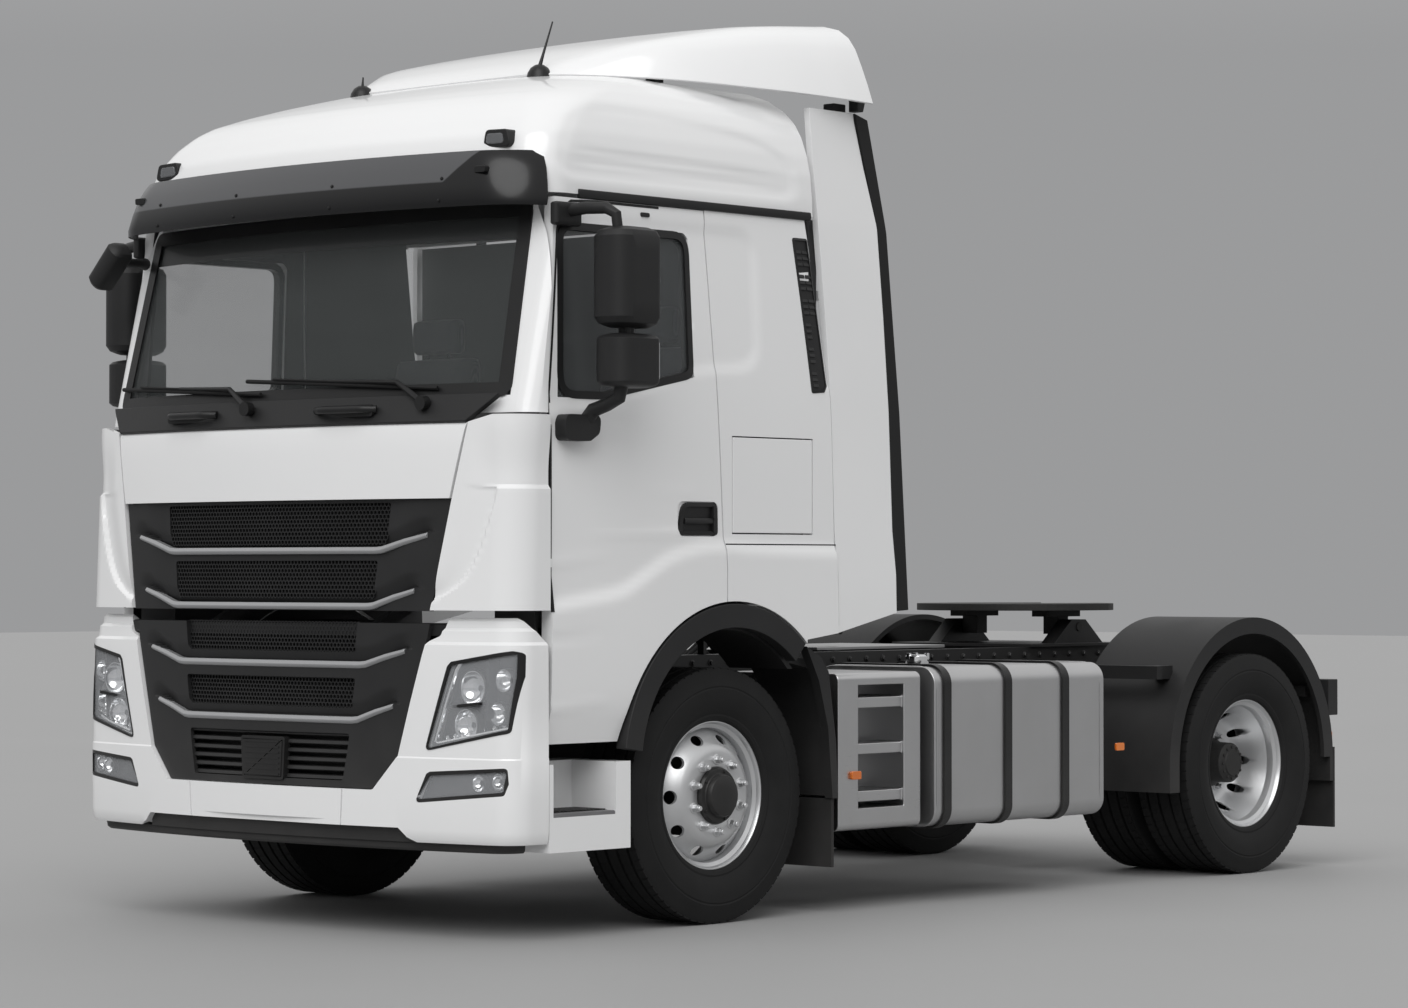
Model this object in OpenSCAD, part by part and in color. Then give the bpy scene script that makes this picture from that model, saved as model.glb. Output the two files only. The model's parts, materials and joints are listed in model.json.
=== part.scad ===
// Two-axle road tractor with a tilting high-roof sleeper cab and a fifth wheel.
// Millimetres. X to the truck's left, forward is -Y, Z up. Shapes are drawn with the
// front axle at Y 0; place() then moves the origin to the middle of the plan.

/* [Chassis] */
// Distance between the front and rear axles
wheelbase = 3600; // [3600:10:3700]
// Height of the frame rails' top
rail_top = 1040; // [1030:1:1045]
// Depth of a frame rail
rail_h = 260; // [240:1:265]
// Half the width over the frame rails
rail_half_w = 400; // [395:1:405]
// Rear end of the frame behind the rear axle
rear_overhang = 800; // [790:1:820]
// Height of the fifth wheel's top plate
coupling_h = 1240; // [1235:1:1250]
// Fifth wheel lead ahead of the rear axle
coupling_lead = 150; // [120:5:200]
// Radius of the kingpin lock in the fifth wheel
kingpin_r = 25.5; // [25.4:0.05:26]

/* [Wheels] */
// Outside diameter of a tyre
tyre_d = 1014; // [1008:1:1016]
// Width of a tyre
tyre_w = 315; // [300:1:318]
// Half the front track, to the middle of the tyre
front_track_half = 1028; // [1024:1:1030]
// Half the rear track, to the middle between the twin tyres
rear_track_half = 930; // [926:1:932]
// Spacing of the twin tyres
twin_gap = 350; // [346:1:352]
// Half the distance between the kingpins
kingpin_half = 930; // [925:1:935]

/* [Cab] */
// Half the width of the cab
cab_half_w = 1245; // [1240:1:1248]
// Front of the bumper ahead of the front axle
nose = 1360; // [1355:1:1362]
// Height of the seam between doors and roof
roof_seam = 2830; // [2825:1:2835]
// Height of the roof
roof_top = 3420; // [3400:5:3440]
// Height of the roof deflector's rear edge
deflector_top = 3690; // [3660:5:3720]
// Thickness of doors and cab walls
wall = 55; // [50:1:60]

/* [Hidden] */
$fn = 48;
mid_y = (wheelbase + rear_overhang - nose) / 2;   // middle of the plan, from the front axle
axle_z = tyre_d / 2;
frame_end = wheelbase + rear_overhang;
coupling_y = wheelbase - coupling_lead;
front_arc = 5500;        // plan radius of the bumper, grille and front panel
screen_arc = 4500;       // plan radius of the windscreen
screen_foot = 2080;      // height of the windscreen's lower edge
screen_lean = 13.2;      // degrees that the windscreen leans back
panel_lean = 2.2;        // degrees that the grille and front panel lean back
panel_foot = 1243;       // lower edge of the parts that tilt with the cab's nose
arch_y = 20;             // centre of the wheel arch
arch_z = 625;
arch_r = 650;            // outer edge of the arch trim
arch_in = 545;           // inner edge of the arch trim
door_front = -1012;
door_rear = -30;
gap = 7;                 // seam between a door and its surround
cab_rear = 655;
tilt_y = -1250;          // pivot of the tilting cab
tilt_z = 1150;
tilt_pin_r = 14.7;
tilt_bore_r = 15;
face_top = 1195;         // height where the fixed nose steps back below the tilting nose
edge_top = 1220;         // top of the fixed nose
arm_y = 150;             // eye of the steering arm, behind the kingpin
clear = 0.5;             // play between pieces that bolt together
strap_w = 46;
strap_y = [1345, 1762, 2168];
big = 3000;

white = [0.93, 0.94, 0.95];
dark = [0.10, 0.10, 0.11];
steel = [0.16, 0.16, 0.17];
silver = [0.75, 0.76, 0.78];

// ---------- helpers ----------
module place() { translate([0, -mid_y, 0]) children(); }
module both() { children(); mirror([1, 0, 0]) children(); }
// a (y, z) outline drawn out along X
module along_x(x0, x1) { translate([x0, 0, 0]) rotate([90, 0, 90]) linear_extrude(x1 - x0) children(); }
// an (x, z) outline drawn out along Y
module along_y(y0, y1) { translate([0, y1, 0]) rotate([90, 0, 0]) linear_extrude(y1 - y0) children(); }
module along_z(z0, z1) { translate([0, 0, z0]) linear_extrude(z1 - z0) children(); }
module box(a, b) { translate(a) cube(b - a); }
module rod_x(x0, x1, y, z, r) { translate([x0, y, z]) rotate([0, 90, 0]) cylinder(h = x1 - x0, r = r); }
module rod_y(x, y0, y1, z, r) { translate([x, y1, z]) rotate([90, 0, 0]) cylinder(h = y1 - y0, r = r); }
module leaned(y0, z0, angle) { translate([0, y0, z0]) rotate([-angle, 0, 0]) translate([0, -y0,
  0]) children(); }
// rounded outline: a polygon of exact arcs made from squares and circles
module round_rect(x0, y0, x1, y1, r) {
  translate([x0 + r, y0]) square([x1 - x0 - 2 * r, y1 - y0]);
  translate([x0, y0 + r]) square([x1 - x0, y1 - y0 - 2 * r]);
  for (x = [x0 + r, x1 - r], y = [y0 + r, y1 - r]) translate([x, y]) circle(r);
}
// plan of the nose: a wide arc, two round corners tangent to it and straight sides
module nose_plan(front, arc, half_w, corner, rear) {
  cx = half_w - corner;
  cy = front + arc - sqrt(pow(arc - corner, 2) - cx * cx);
  xt = cx * arc / (arc - corner);
  intersection() {
    translate([0, front + arc]) circle(arc, $fn = 360);
    translate([-xt, front - 1]) square([2 * xt, rear - front + 1]);
  }
  intersection() {
    for (s = [-1, 1]) translate([s * cx, cy]) circle(corner, $fn = 64);
    translate([-half_w, front]) square([2 * half_w, rear - front]);
  }
  translate([-half_w, cy]) square([2 * half_w, rear - cy]);
}
module nose_shell(front, arc, half_w, corner, rear, t) {
  difference() {
    nose_plan(front, arc, half_w, corner, rear);
    nose_plan(front + t, arc - t, half_w - t, corner - t, rear + 1);
  }
}

// ---------- chassis ----------
module ladder_frame() color(steel) {
  both() along_y(-1000, frame_end) polygon([
    [rail_half_w, rail_top], [rail_half_w - 75, rail_top], [rail_half_w - 75, rail_top - 9],
    [rail_half_w - 9, rail_top - 9], [rail_half_w - 9, rail_top - rail_h + 9],
    [rail_half_w - 75, rail_top - rail_h + 9], [rail_half_w - 75, rail_top - rail_h],
    [rail_half_w, rail_top - rail_h]
  ]);
  for (y = [1420, 2250, wheelbase - 420, wheelbase + 380])
    box([-rail_half_w + 9, y, rail_top - rail_h + 30], [rail_half_w - 9, y + 90, rail_top - 30]);
  difference() {
    box([-rail_half_w + 9, frame_end - 12, rail_top - rail_h], [rail_half_w - 9, frame_end, rail_top]);
    for (x = [-80, 80], z = [-50, 50]) rod_y(x, frame_end - 13, frame_end + 1,
      rail_top - rail_h / 2 + z, 10.5);
  }
  box([-rail_half_w + 9, -1000, rail_top - rail_h], [rail_half_w - 9, -960, rail_top - rail_h + 110]);
  both() difference() {
    box([rail_half_w - 9, -1215, 820], [rail_half_w + 60, -930, 960]);
    rod_x(rail_half_w - 10, rail_half_w + 61, tilt_y + 110, 890, 15);
  }
  // towers and pins of the cab's tilt pivot
  both() {
    along_x(408, 452) polygon([[-1210, 955], [-1120, 955], [tilt_y + 26, tilt_z], [tilt_y - 26, tilt_z]]);
    rod_x(408, 452, tilt_y, tilt_z, 28);
    rod_x(451, 500, tilt_y, tilt_z, tilt_pin_r);
  }
}
module front_axle() color(dark) {
  both() {
    along_y(-40, 40) polygon([[-1, 372], [560, 372], [790, 450], [kingpin_half - 30, 462],
      [kingpin_half - 30, 552], [770, 540], [540, 470], [-1, 470]]);
    difference() {
      translate([kingpin_half, 0, 440]) cylinder(h = 134, r = 42);
      translate([kingpin_half, 0, 439]) cylinder(h = 136, r = 25);
    }
  }
  box([-60, -70, 372], [60, 70, 392]);
}
module rear_axle() color(dark) {
  rod_x(-770, 770, wheelbase, axle_z, 70);
  both() rod_x(769, rear_track_half + 20, wheelbase, axle_z, 60);
  both() rod_x(690, 770, wheelbase, axle_z, 190);
  translate([0, wheelbase, axle_z]) rotate([0, 90, 0]) cylinder(h = 150, r = 235, center = true);
  translate([0, wheelbase - 130, axle_z]) rotate([90, 0, 0]) cylinder(h = 210, r1 = 180, r2 = 90);
  rod_y(0, 1380, wheelbase - 330, axle_z + 120, 55);
  rod_y(0, wheelbase - 350, wheelbase - 320, axle_z + 60, 90);
  both() box([rail_half_w - 60, wheelbase - 70, axle_z - 60],
    [rail_half_w + 30, wheelbase + 70, axle_z + 90]);
}
module springs() color(steel) {
  // front leaf springs with shackles, rear air bellows and dampers
  both() {
    intersection() {
      along_x(rail_half_w - 5, rail_half_w + 85) difference() {
        translate([0, 474 + 2600]) circle(2600, $fn = 360);
        translate([0, 474 + 2600]) circle(2545, $fn = 360);
      }
      box([300, -790, 400], [500, 790, 720]);
    }
    box([rail_half_w + clear, -820, 575], [rail_half_w + 85, -720, 860]);
    box([rail_half_w + clear, 720, 575], [rail_half_w + 85, 820, 860]);
    box([rail_half_w + 1, -60, 470], [rail_half_w + 79, 60, 480]);
    translate([rail_half_w + 25, wheelbase + 390, 420]) cylinder(h = 330, r = 125);
    box([rail_half_w - 60, wheelbase + 70, 380], [rail_half_w + 60, wheelbase + 480, 420]);
    box([rail_half_w + 1, wheelbase + 300, 750], [rail_half_w + 120, wheelbase + 480, 860]);
    translate([rail_half_w + 60, wheelbase - 210, 440]) cylinder(h = 420, r = 38);
    box([rail_half_w - 60, wheelbase - 600, 395], [rail_half_w + 60, wheelbase - 70, 440]);
    box([rail_half_w + 1, wheelbase - 640, 395], [rail_half_w + 90, wheelbase - 600, 860]);
  }
}
module engine() color([0.3, 0.31, 0.32]) {
  box([-315, -640, 560], [315, 560, 1160]);                // block and heads
  box([-230, 575, 600], [230, 1360, 1010]);                // gearbox
  box([-315, -930, 620], [315, -830, 1190]);               // radiator
}
module fuel_tank() color(silver)
  along_y(1290, 2480) round_rect(600, 322, 1236, 992, 75);
module tank_straps() color(dark) {
  for (y = strap_y) {
    difference() {
      along_y(y, y + strap_w) round_rect(590, 312, 1246, 1002, 85);
      along_y(y - 1, y + strap_w + 1) round_rect(599.5, 321.5, 1236.5, 992.5, 75.5);
    }
    box([rail_half_w + clear, y, 800], [590.5, y + strap_w, 960]);
  }
}
module step_tank() color(steel) {
  difference() {
    along_y(705, 1240) round_rect(560, 330, 1200, 975, 30);
    along_x(930, 1201) polygon([[835, 420], [1130, 420], [1130, 925], [835, 925]]);
  }
  for (z = [445, 640, 830]) box([955, 834, z], [1185, 1131, z + 45]);
  box([rail_half_w + clear, 860, 800], [560.5, 920, 940]);
  box([rail_half_w, 1140, 800], [560.5, 1200, 940]);
}
module exhaust_box() color([0.42, 0.43, 0.45]) mirror([1, 0, 0]) {
  along_y(720, 1800) round_rect(520, 330, 1200, 985, 60);
  along_y(1840, 2440) round_rect(600, 360, 1150, 920, 40);
  box([rail_half_w + clear, 860, 800], [520.5, 930, 940]);
  box([rail_half_w, 1620, 800], [520.5, 1690, 940]);
  box([rail_half_w, 1900, 800], [600.5, 1960, 900]);
  box([rail_half_w, 2340, 800], [600.5, 2400, 900]);
}
module air_tanks() color(dark)
  for (s = [-1, 1]) {
    rod_y(s * 230, 1560, 2200, 660, 115);
    box([s * 230 - 20, 1640, 774], [s * 230 + 20, 1680, 800]);
    box([s * 230 - 20, 2080, 774], [s * 230 + 20, 2120, 800]);
    box([min(s * 210, s * 391), 1640, 790], [max(s * 210, s * 391), 1680, 830]);
    box([min(s * 210, s * 391), 2080, 790], [max(s * 210, s * 391), 2120, 830]);
  }
module mudguards() color(dark) {
  both() front_mudguard();
  both() rear_mudguard();
}
module front_mudguard() {
  // inner arch over the tyre and the guard behind the wheel
  intersection() {
    along_x(870, 1185) difference() {
      arch_hole(560);
      arch_hole(538);
    }
    box([869, -330, 1000], [1186, 480, 1200]);
  }
  along_x(870, 1185) polygon([[405, 1025], [430, 1050], [570, 1030], [612, 985], [655, 700],
    [668, 480], [640, 480],
    [622, 700], [575, 950], [540, 1000], [440, 1020]]);
  along_x(1184, 1225) polygon([[478, 1090], [570, 1045], [616, 985], [662, 700], [675, 470], [640, 470],
    [612, 760], [555, 950]]);
  box([rail_half_w, 600, 880], [901, 640, 930]);
}
module mud_flaps() color(dark) both() {
  box([905, 645, 190], [1215, 660, 469]);
  box([705, frame_end - 105, 180], [1248, frame_end - 90, 560]);
}
module rear_guard_ring(r_out, r_in, y, z) difference() {
  translate([y, z]) circle(r_out, $fn = 96);
  translate([y, z]) circle(r_in, $fn = 96);
}
module rear_mudguard() {
  y0 = wheelbase + 28;
  z0 = 515;
  along_x(705, 1248) {
    intersection() {
      rear_guard_ring(665, 640, y0, z0);
      translate([y0 - big, z0]) square([2 * big, big]);
    }
    translate([y0 - 665, 395]) square([25, z0 - 395 + 1]);
    translate([y0 + 640, 400]) square([25, z0 - 400 + 1]);
  }
  // side lip of the guard
  along_x(1228, 1248) {
    intersection() {
      rear_guard_ring(641, 590, y0, z0);
      translate([y0 - big, z0]) square([2 * big, big]);
    }
    translate([y0 - 641, 395]) square([51, z0 - 395 + 1]);
  }
  box([rail_half_w, wheelbase - 640, 905], [1180, wheelbase - 600, 965]);
  box([1080, wheelbase - 601, 905], [1160, wheelbase - 490, 965]);
  box([rail_half_w, wheelbase + 560, 800], [1180, wheelbase + 600, 850]);
}
module tail_lamps() color([0.6, 0.05, 0.05]) both() {
  box([770, frame_end - 125, 710], [1236, frame_end - 45, 880]);
  box([rail_half_w, frame_end - 100, 800], [770.5, frame_end - 60, 850]);
}
module fifth_wheel_base() color(steel) {
  box([-rail_half_w - 20, coupling_y - 420, rail_top + 0.3],
    [rail_half_w + 20, coupling_y + 330, rail_top + 14]);
  both() difference() {
    along_x(300, 380) polygon([[coupling_y - 190, rail_top + 14], [coupling_y + 190, rail_top + 14],
      [coupling_y + 55, rail_top + 125], [coupling_y - 55, rail_top + 125]]);
    rod_x(299, 381, coupling_y, rail_top + 90, 20.3);
  }
}
module fifth_wheel_plate() color([0.07, 0.07, 0.07]) {
  top = coupling_h;
  difference() {
    union() {
      along_z(top - 32, top) intersection() {
        translate([0, coupling_y]) circle(470, $fn = 180);
        translate([-450, coupling_y - 470]) square([900, 940]);
      }
      both() box([200, coupling_y - 130, top - 62], [300 - 8, coupling_y + 130, top - 31]);
      both() box([200, coupling_y - 40, top - 145], [288, coupling_y + 40, top - 61]);
      both() rod_x(287, 385, coupling_y, rail_top + 90, 20);
    }
    translate([0, coupling_y, top - 200]) cylinder(h = 300, r = kingpin_r, $fn = 96);
    along_z(top - 200, top + 1) polygon([[-15, coupling_y], [15, coupling_y], [30, coupling_y + 60],
      [190, coupling_y + 480], [-190, coupling_y + 480], [-30, coupling_y + 60]]);
  }
}

// ---------- nose of the chassis ----------
module bumper() color(white) difference() {
  union() {
    along_z(372, face_top) nose_shell(-nose, front_arc, 1250, 120, -1036, 42);
    along_z(face_top - 1, edge_top) nose_shell(-nose + 22, front_arc - 22, 1235, 105, -1036, 20);
  }
  // opening of the lower grille
  along_y(-1500, -1100) polygon([[-865, 1300], [865, 1300], [846, 1140], [720, 690], [600, 560],
    [-600, 560], [-720, 690], [-846, 1140]]);
  // sloping shoulder towards the doors
  both() along_x(900, 1300) polygon([[-1150, 1300], [-1150, 1221], [-1030, 1120], [-1000, 1300]]);
  // lamp openings
  both() along_y(-1500, -1100) polygon([[845, 715], [1215, 790], [1232, 1075], [1210, 1095],
    [965, 1055], [940, 1030]]);
  both() along_y(-1500, -1090) polygon([[800, 520], [1195, 555], [1205, 660], [870, 640]]);
  // lower edge rises towards the middle
  along_y(-1500, -1000) polygon([[-1000, 371], [1000, 371], [720, 400], [-720, 400]]);
}
module lower_grille() color(dark) {
  grille_frame();
  // black lip under the bumper
  along_z(335, 371.5) nose_shell(-nose + 45, front_arc - 45, 1180, 90, -1090, 60);
}
module grille_frame() intersection() {
  along_y(-1500, -1000) polygon([[-853, 1232], [853, 1232], [841, 1142], [715, 694], [598, 564],
    [-598, 564], [-715, 694], [-841, 1142]]);
  difference() {
    union() {
      along_z(560, face_top) nose_shell(-nose + 12, front_arc - 12, 1200, 100, -1100, 40);
      along_z(face_top - 1, edge_top - 2) nose_shell(-nose + 24, front_arc - 24, 1200, 100, -1100, 28);
    }
    for (row = [[1085, 1210, 500], [900, 1010, 470], [735, 800, 450], [610, 680, 420]])
      along_y(-1500, -1000) polygon([[-row[2], row[0]], [row[2], row[0]],
        [row[2] + 20, row[1]], [-row[2] - 20, row[1]]]);
  }
}
module front_lamps() color([0.8, 0.82, 0.85]) both() {
  intersection() {
    along_z(500, 1150) nose_shell(-nose + 8, front_arc - 8, 1242, 112, -1120, 110);
    union() {
      along_y(-1500, -1050) polygon([[848, 719], [1212, 793], [1229, 1073], [1208, 1092], [967, 1052],
        [943, 1028]]);
      along_y(-1500, -1050) polygon([[803, 524], [1192, 558], [1202, 657], [873, 637]]);
    }
    box([500, -1500, 400], [1300, -1000, 1200]);
  }
}
module entry_steps() color(white) both() {
  difference() {
    box([860, -1030, 336], [1246, -585, 668]);
    box([1010, -1008, 468], [1247, -665, 669]);
    box([859, -1015, 320], [1225, -600, 440]);
  }
  box([1011, -1007, 468], [1240, -666, 480]);
  box([rail_half_w + clear, -900, 790], [520, -840, 850]);
  box([480, -900, 600], [900, -840, 667]);
  box([480, -900, 600], [520, -840, 850]);
}

// ---------- wheels and steering ----------
module tyre_ring(x_mid) translate([x_mid, 0, axle_z]) rotate([0, 90,
  0]) rotate_extrude($fn = 96) polygon([
  [298, -110], [330, -138], [392, -tyre_w / 2], [440, -tyre_w / 2 + 3], [482, -tyre_w / 2 + 14],
  [498, -tyre_w / 2 + 24], [505, -100], [tyre_d / 2, -40], [tyre_d / 2, 40], [505, 100],
  [498, tyre_w / 2 - 24], [482, tyre_w / 2 - 14], [440, tyre_w / 2 - 3], [392, tyre_w / 2],
  [330, 138], [298, 110]
]);
// dished steel wheel; disc_x is the offset of the bolting face from the middle of the rim
module rim_ring(x_mid, disc_x, dir) translate([x_mid, 0, axle_z]) rotate([0, 90, 0]) {
  rotate_extrude($fn = 96) polygon([
    [297.5, -109], [297.5, -114.5], [286, -114.5], [280, -95], [264, -70], [264, 70], [280, 95],
      [286, 114.5],
    [297.5, 114.5], [297.5, 109], [290, 92], [276, 66], [276, -66], [290, -92]
  ]);
  difference() {
    rotate_extrude($fn = 96) polygon([
      [95, disc_x - 6], [175, disc_x - 6], [205, disc_x - dir * 14 - 6], [265, disc_x - dir * 80 - 6],
      [265, disc_x - dir * 80 + 6], [205, disc_x - dir * 14 + 6], [175, disc_x + 6], [95, disc_x + 6]
    ]);
    for (i = [0:7]) rotate(i * 45 + 22.5) translate([228, 0, -200]) cylinder(h = 400, r = 24, $fn = 32);
  }
}
module wheel_tyre(x) color(dark) tyre_ring(x);
module twin_tyres(s) color(dark) translate([0, wheelbase, 0])
  for (side = [-1, 1]) tyre_ring(s * (rear_track_half + side * twin_gap / 2));
module front_rim(s) color(silver) mirror([s < 0 ? 1 : 0, 0, 0]) {
  rim_ring(front_track_half, 134, 1);
  difference() {
    rod_x(front_track_half - 38, front_track_half + 150, 0, axle_z, 96);
    rod_x(front_track_half - 39, front_track_half + 95, 0, axle_z, 40.5);
  }
}
module rear_rims(s) color(silver) mirror([s < 0 ? 1 : 0, 0, 0]) translate([0, wheelbase, 0]) {
  rim_ring(rear_track_half + twin_gap / 2, 6 - twin_gap / 2, -1);
  rim_ring(rear_track_half - twin_gap / 2, twin_gap / 2 - 6, 1);
  difference() {
    rod_x(778, rear_track_half + 120, 0, axle_z, 96);
    rod_x(777, rear_track_half + 30, 0, axle_z, 60.5);
  }
}
module knuckle(s) color(dark) mirror([s < 0 ? 1 : 0, 0, 0]) {
  // kingpin, fork, stub axle, brake and steering arm
  translate([kingpin_half, 0, 405]) cylinder(h = 204, r = 24.7);
  translate([kingpin_half, 0, 385]) cylinder(h = 50, r = 52);
  translate([kingpin_half, 0, 579]) cylinder(h = 50, r = 52);
  rod_x(kingpin_half + 49, front_track_half + 85, 0, axle_z, 40);
  difference() {
    rod_x(kingpin_half + 10, kingpin_half + 53, 0, axle_z, 165);
    rod_x(kingpin_half - 90, kingpin_half + 30, 0, axle_z, 120);
    translate([kingpin_half, 0, 436]) cylinder(h = 142, r = 46);
  }
  box([kingpin_half, -45, 387], [kingpin_half + 42, 45, 434]);
  box([kingpin_half, -45, 580], [kingpin_half + 42, 45, 627]);
  box([kingpin_half - 25, 10, 388], [kingpin_half + 25, arm_y, 408]);
  translate([kingpin_half, arm_y, 388]) cylinder(h = 20, r = 28);
  translate([kingpin_half, arm_y, 350]) cylinder(h = 39, r = 11.7);
}
module tie_rod() color(dark) {
  difference() {
    union() {
      rod_x(20 - kingpin_half, kingpin_half - 20, arm_y, 363, 17);
      both() translate([kingpin_half, arm_y, 346]) cylinder(h = 34, r = 27);
    }
    both() translate([kingpin_half, arm_y, 340]) cylinder(h = 50, r = 12);
  }
}

// ---------- cab ----------
// (x, z) line of the cab's side, outer face, moved in by t
function side_line(t) = [[1212 - t, 735], [1240 - t, 950], [cab_half_w - t, 1380], [1231 - t, 1560],
  [1228 - t, 2050], [1212 - t, 2450], [1190 - t, roof_seam + 5]];
function backwards(list) = [for (i = [len(list) - 1:-1:0]) list[i]];
module side_skin(y0, y1, t) along_y(y0, y1) polygon(concat(side_line(0), backwards(side_line(t))));
module arch_hole(r) translate([arch_y, arch_z]) circle(r, $fn = 96);
// door outline in side view, g is the gap taken off all round
module door_outline(g) difference() {
  polygon([[door_front + g, 742 + g], [-600 - g, 742 + g], [door_rear - g, 742 + g],
    [door_rear - g, 1400],
    [-110 - g, roof_seam - 18 - g], [-945 + g, roof_seam - 18 - g], [door_front + g, 2070]]);
  arch_hole(arch_r + g);
  translate([-600 - g, 600]) square([700, 200]);
}
module window_outline(g) intersection() {
  polygon([[-930 + g, 2715 - g], [-962 + g, 2050 + g], [-700, 2052 + g], [-197 - g, 2152 + g],
    [-200 - g, 2718 - g]]);
  round_rect(-975 + g, 2030 + g, -190 - g, 2722 - g, 60);
}
module door() difference() {
  intersection() {
    side_skin(-1100, 100, wall);
    along_x(1000, 1300) door_outline(0);
  }
  along_x(1000, 1300) window_outline(0);
  // grip recess
  along_x(1222, 1300) round_rect(-300, 1530, -66, 1666, 30);
}
module door_glass() intersection() {
  along_y(-1100, 100) polygon(concat(side_line(14), backwards(side_line(20))));
  along_x(1000, 1300) window_outline(0.3);
}
// upright housing with round vertical edges, its ends bevelled by c
module mirror_housing(a, b, r, c) intersection() {
  along_z(a[2], b[2]) round_rect(a[0], a[1], b[0], b[1], r);
  along_x(a[0] - 1, b[0] + 1) polygon([[a[1] - 1, a[2] + c], [a[1] + c - 1, a[2] - 1],
    [b[1] - c + 1, a[2] - 1],
    [b[1] + 1, a[2] + c], [b[1] + 1, b[2] - c], [b[1] - c + 1, b[2] + 1], [a[1] + c - 1, b[2] + 1],
      [a[1] - 1, b[2] - c]]);
}
module front_mirror() color(dark) mirror([1, 0, 0]) {
  translate([1130, -1190, 2650]) rotate([0, -45, 0])
    mirror_housing([-45, -45, -105], [45, 45, 105], 30, 18);
  box([1120, -1150, 2655], [1150, -992, 2685]);
}
module mirror_unit() {
  // two arms from the door, a tall main housing and a wide-angle housing below
  box([1200, -890, 2740], [1450, -850, 2775]);
  box([1420, -890, 2660], [1460, -850, 2775]);
  box([1232, -930, 1905], [1290, -850, 1965]);
  box([1260, -900, 1930], [1420, -860, 1960]);
  box([1400, -880, 1935], [1430, -840, 2110]);
  mirror_housing([1335, -930, 2310], [1520, -690, 2690], 60, 40);
  mirror_housing([1335, -915, 2085], [1515, -690, 2290], 55, 30);
  box([1400, -830, 2289], [1440, -790, 2311]);
}
module cab_sides() color(white) both() difference() {
  intersection() {
    side_skin(-400, cab_rear, wall);
    along_x(1000, 1300) difference() {
      polygon([[door_rear + gap, 742], [door_rear + gap, 1400], [-110 + gap, roof_seam - 18],
        [-110 + gap, roof_seam], [500, roof_seam], [cab_rear - 32, 2090], [cab_rear, 1142],
          [460, 1118], [460, 742]]);
      arch_hole(arch_r);
    }
  }
  // locker opening behind its lid
  along_x(1000, 1300) locker_outline(0);
  // side vent recess
  along_x(1205, 1300) polygon([[424, 2742], [516, 2742], [610, 2145], [508, 2130]]);
}
// locker in the side, outline in side view, g smaller all round
module locker_outline(g) polygon([[18 + g, 1540 + g], [511 - g, 1540 + g], [511 - g, 1928 - g],
  [18 + g, 1928 - g]]);
module locker_lid() intersection() {
  side_skin(0, 560, 20);
  along_x(1000, 1300) locker_outline(5);
}
module cab_shell() color([0.55, 0.56, 0.58]) {
  // arms from the floor down to the tilt pivot
  both() difference() {
    union() {
      along_x(456, 490) polygon([[tilt_y - 22, tilt_z + 5], [tilt_y + 22, tilt_z - 12], [-1020, 1230],
        [-1020, 1299], [-1044, 1299],
        [-1044, 1280]]);
      rod_x(456, 490, tilt_y, tilt_z, 28);
    }
    rod_x(455, 491, tilt_y, tilt_z, tilt_bore_r);
  }
  box([-1150, -1045, 1243], [1150, 600, 1300]);              // floor
  box([-1130, 595, 1243], [1130, 650, roof_seam - 2]);       // back wall
  box([-1150, -1045, 1300], [1150, -1000, 1960]);            // front wall
  both() {
    box([1149, 40, 1290], [cab_half_w - wall - 14, 560, 1330]);
    difference() {
      box([930, -1005, 760], [1145, -640, 1244]);
      box([960, -990, 800], [1146, -655, 960]);
      box([960, -990, 1000], [1146, -655, 1180]);
    }
  }
}
module windscreen_frame() color(white) difference() {
  intersection() {
    leaned(-1262, screen_foot, screen_lean) along_z(-110, 790) nose_shell(-1262, screen_arc, 1240, 110,
      -700, wall);
    along_y(-1500, -700) polygon(concat(side_line(0), [[-1190, roof_seam + 5], [-1228, 2050],
      [-1212, 735]]));
    along_x(-1300, 1300) polygon([[-1500, 1990], [door_front - gap, 1990], [door_front - gap, 2070],
      [-945 - gap, roof_seam - 18], [-945 - gap, roof_seam - 2], [-1500, roof_seam - 2]]);
    box([-1300, -1500, 1987], [1300, -700, roof_seam - 2]);
  }
  along_y(-1500, -900) screen_outline(0);
}
module windscreen() color([0.2, 0.25, 0.25]) intersection() {
  leaned(-1262, screen_foot, screen_lean) along_z(-50, 760) nose_shell(-1262 + 4, screen_arc - 4, 1236,
    106, -900, 8);
  along_y(-1500, -900) screen_outline(-0.4);
}
// front view of the windscreen's opening, g wider all round
module screen_outline(g) polygon([[-1128 - g, 2056 - g], [1128 + g, 2056 - g], [1090 + g, 2792 + g],
  [-1090 - g, 2792 + g]]);
module cowl() color(dark) difference() {
  intersection() {
    leaned(-1330, 1962, 14) along_z(-60, 130) nose_shell(-1330, front_arc, 1150, 110, -1100, 60);
    along_y(-1500, -1060) polygon([[-1005, 1962], [1005, 1962], [1118, 1992], [1120, 2052],
      [-1120, 2052], [-1118, 1992]]);
  }
  leaned(-1262, screen_foot, screen_lean) along_z(-300, 790) nose_plan(-1262 - 1, screen_arc, 1300,
    110, 0);
}
module corner_panels() color(white) both() intersection() {
  leaned(-nose + 2, panel_foot, panel_lean) along_z(-60, 900) nose_shell(-nose + 2, front_arc,
    cab_half_w, 150, -900, 60);
  along_y(-1500, -900) polygon([[863, panel_foot], [950, 1667], [1015, 1955], [1128, 1985],
    [1260, 1985], [1260, panel_foot]]);
  box([800, -1500, panel_foot], [cab_half_w, door_front - gap, 1985]);
}
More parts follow.
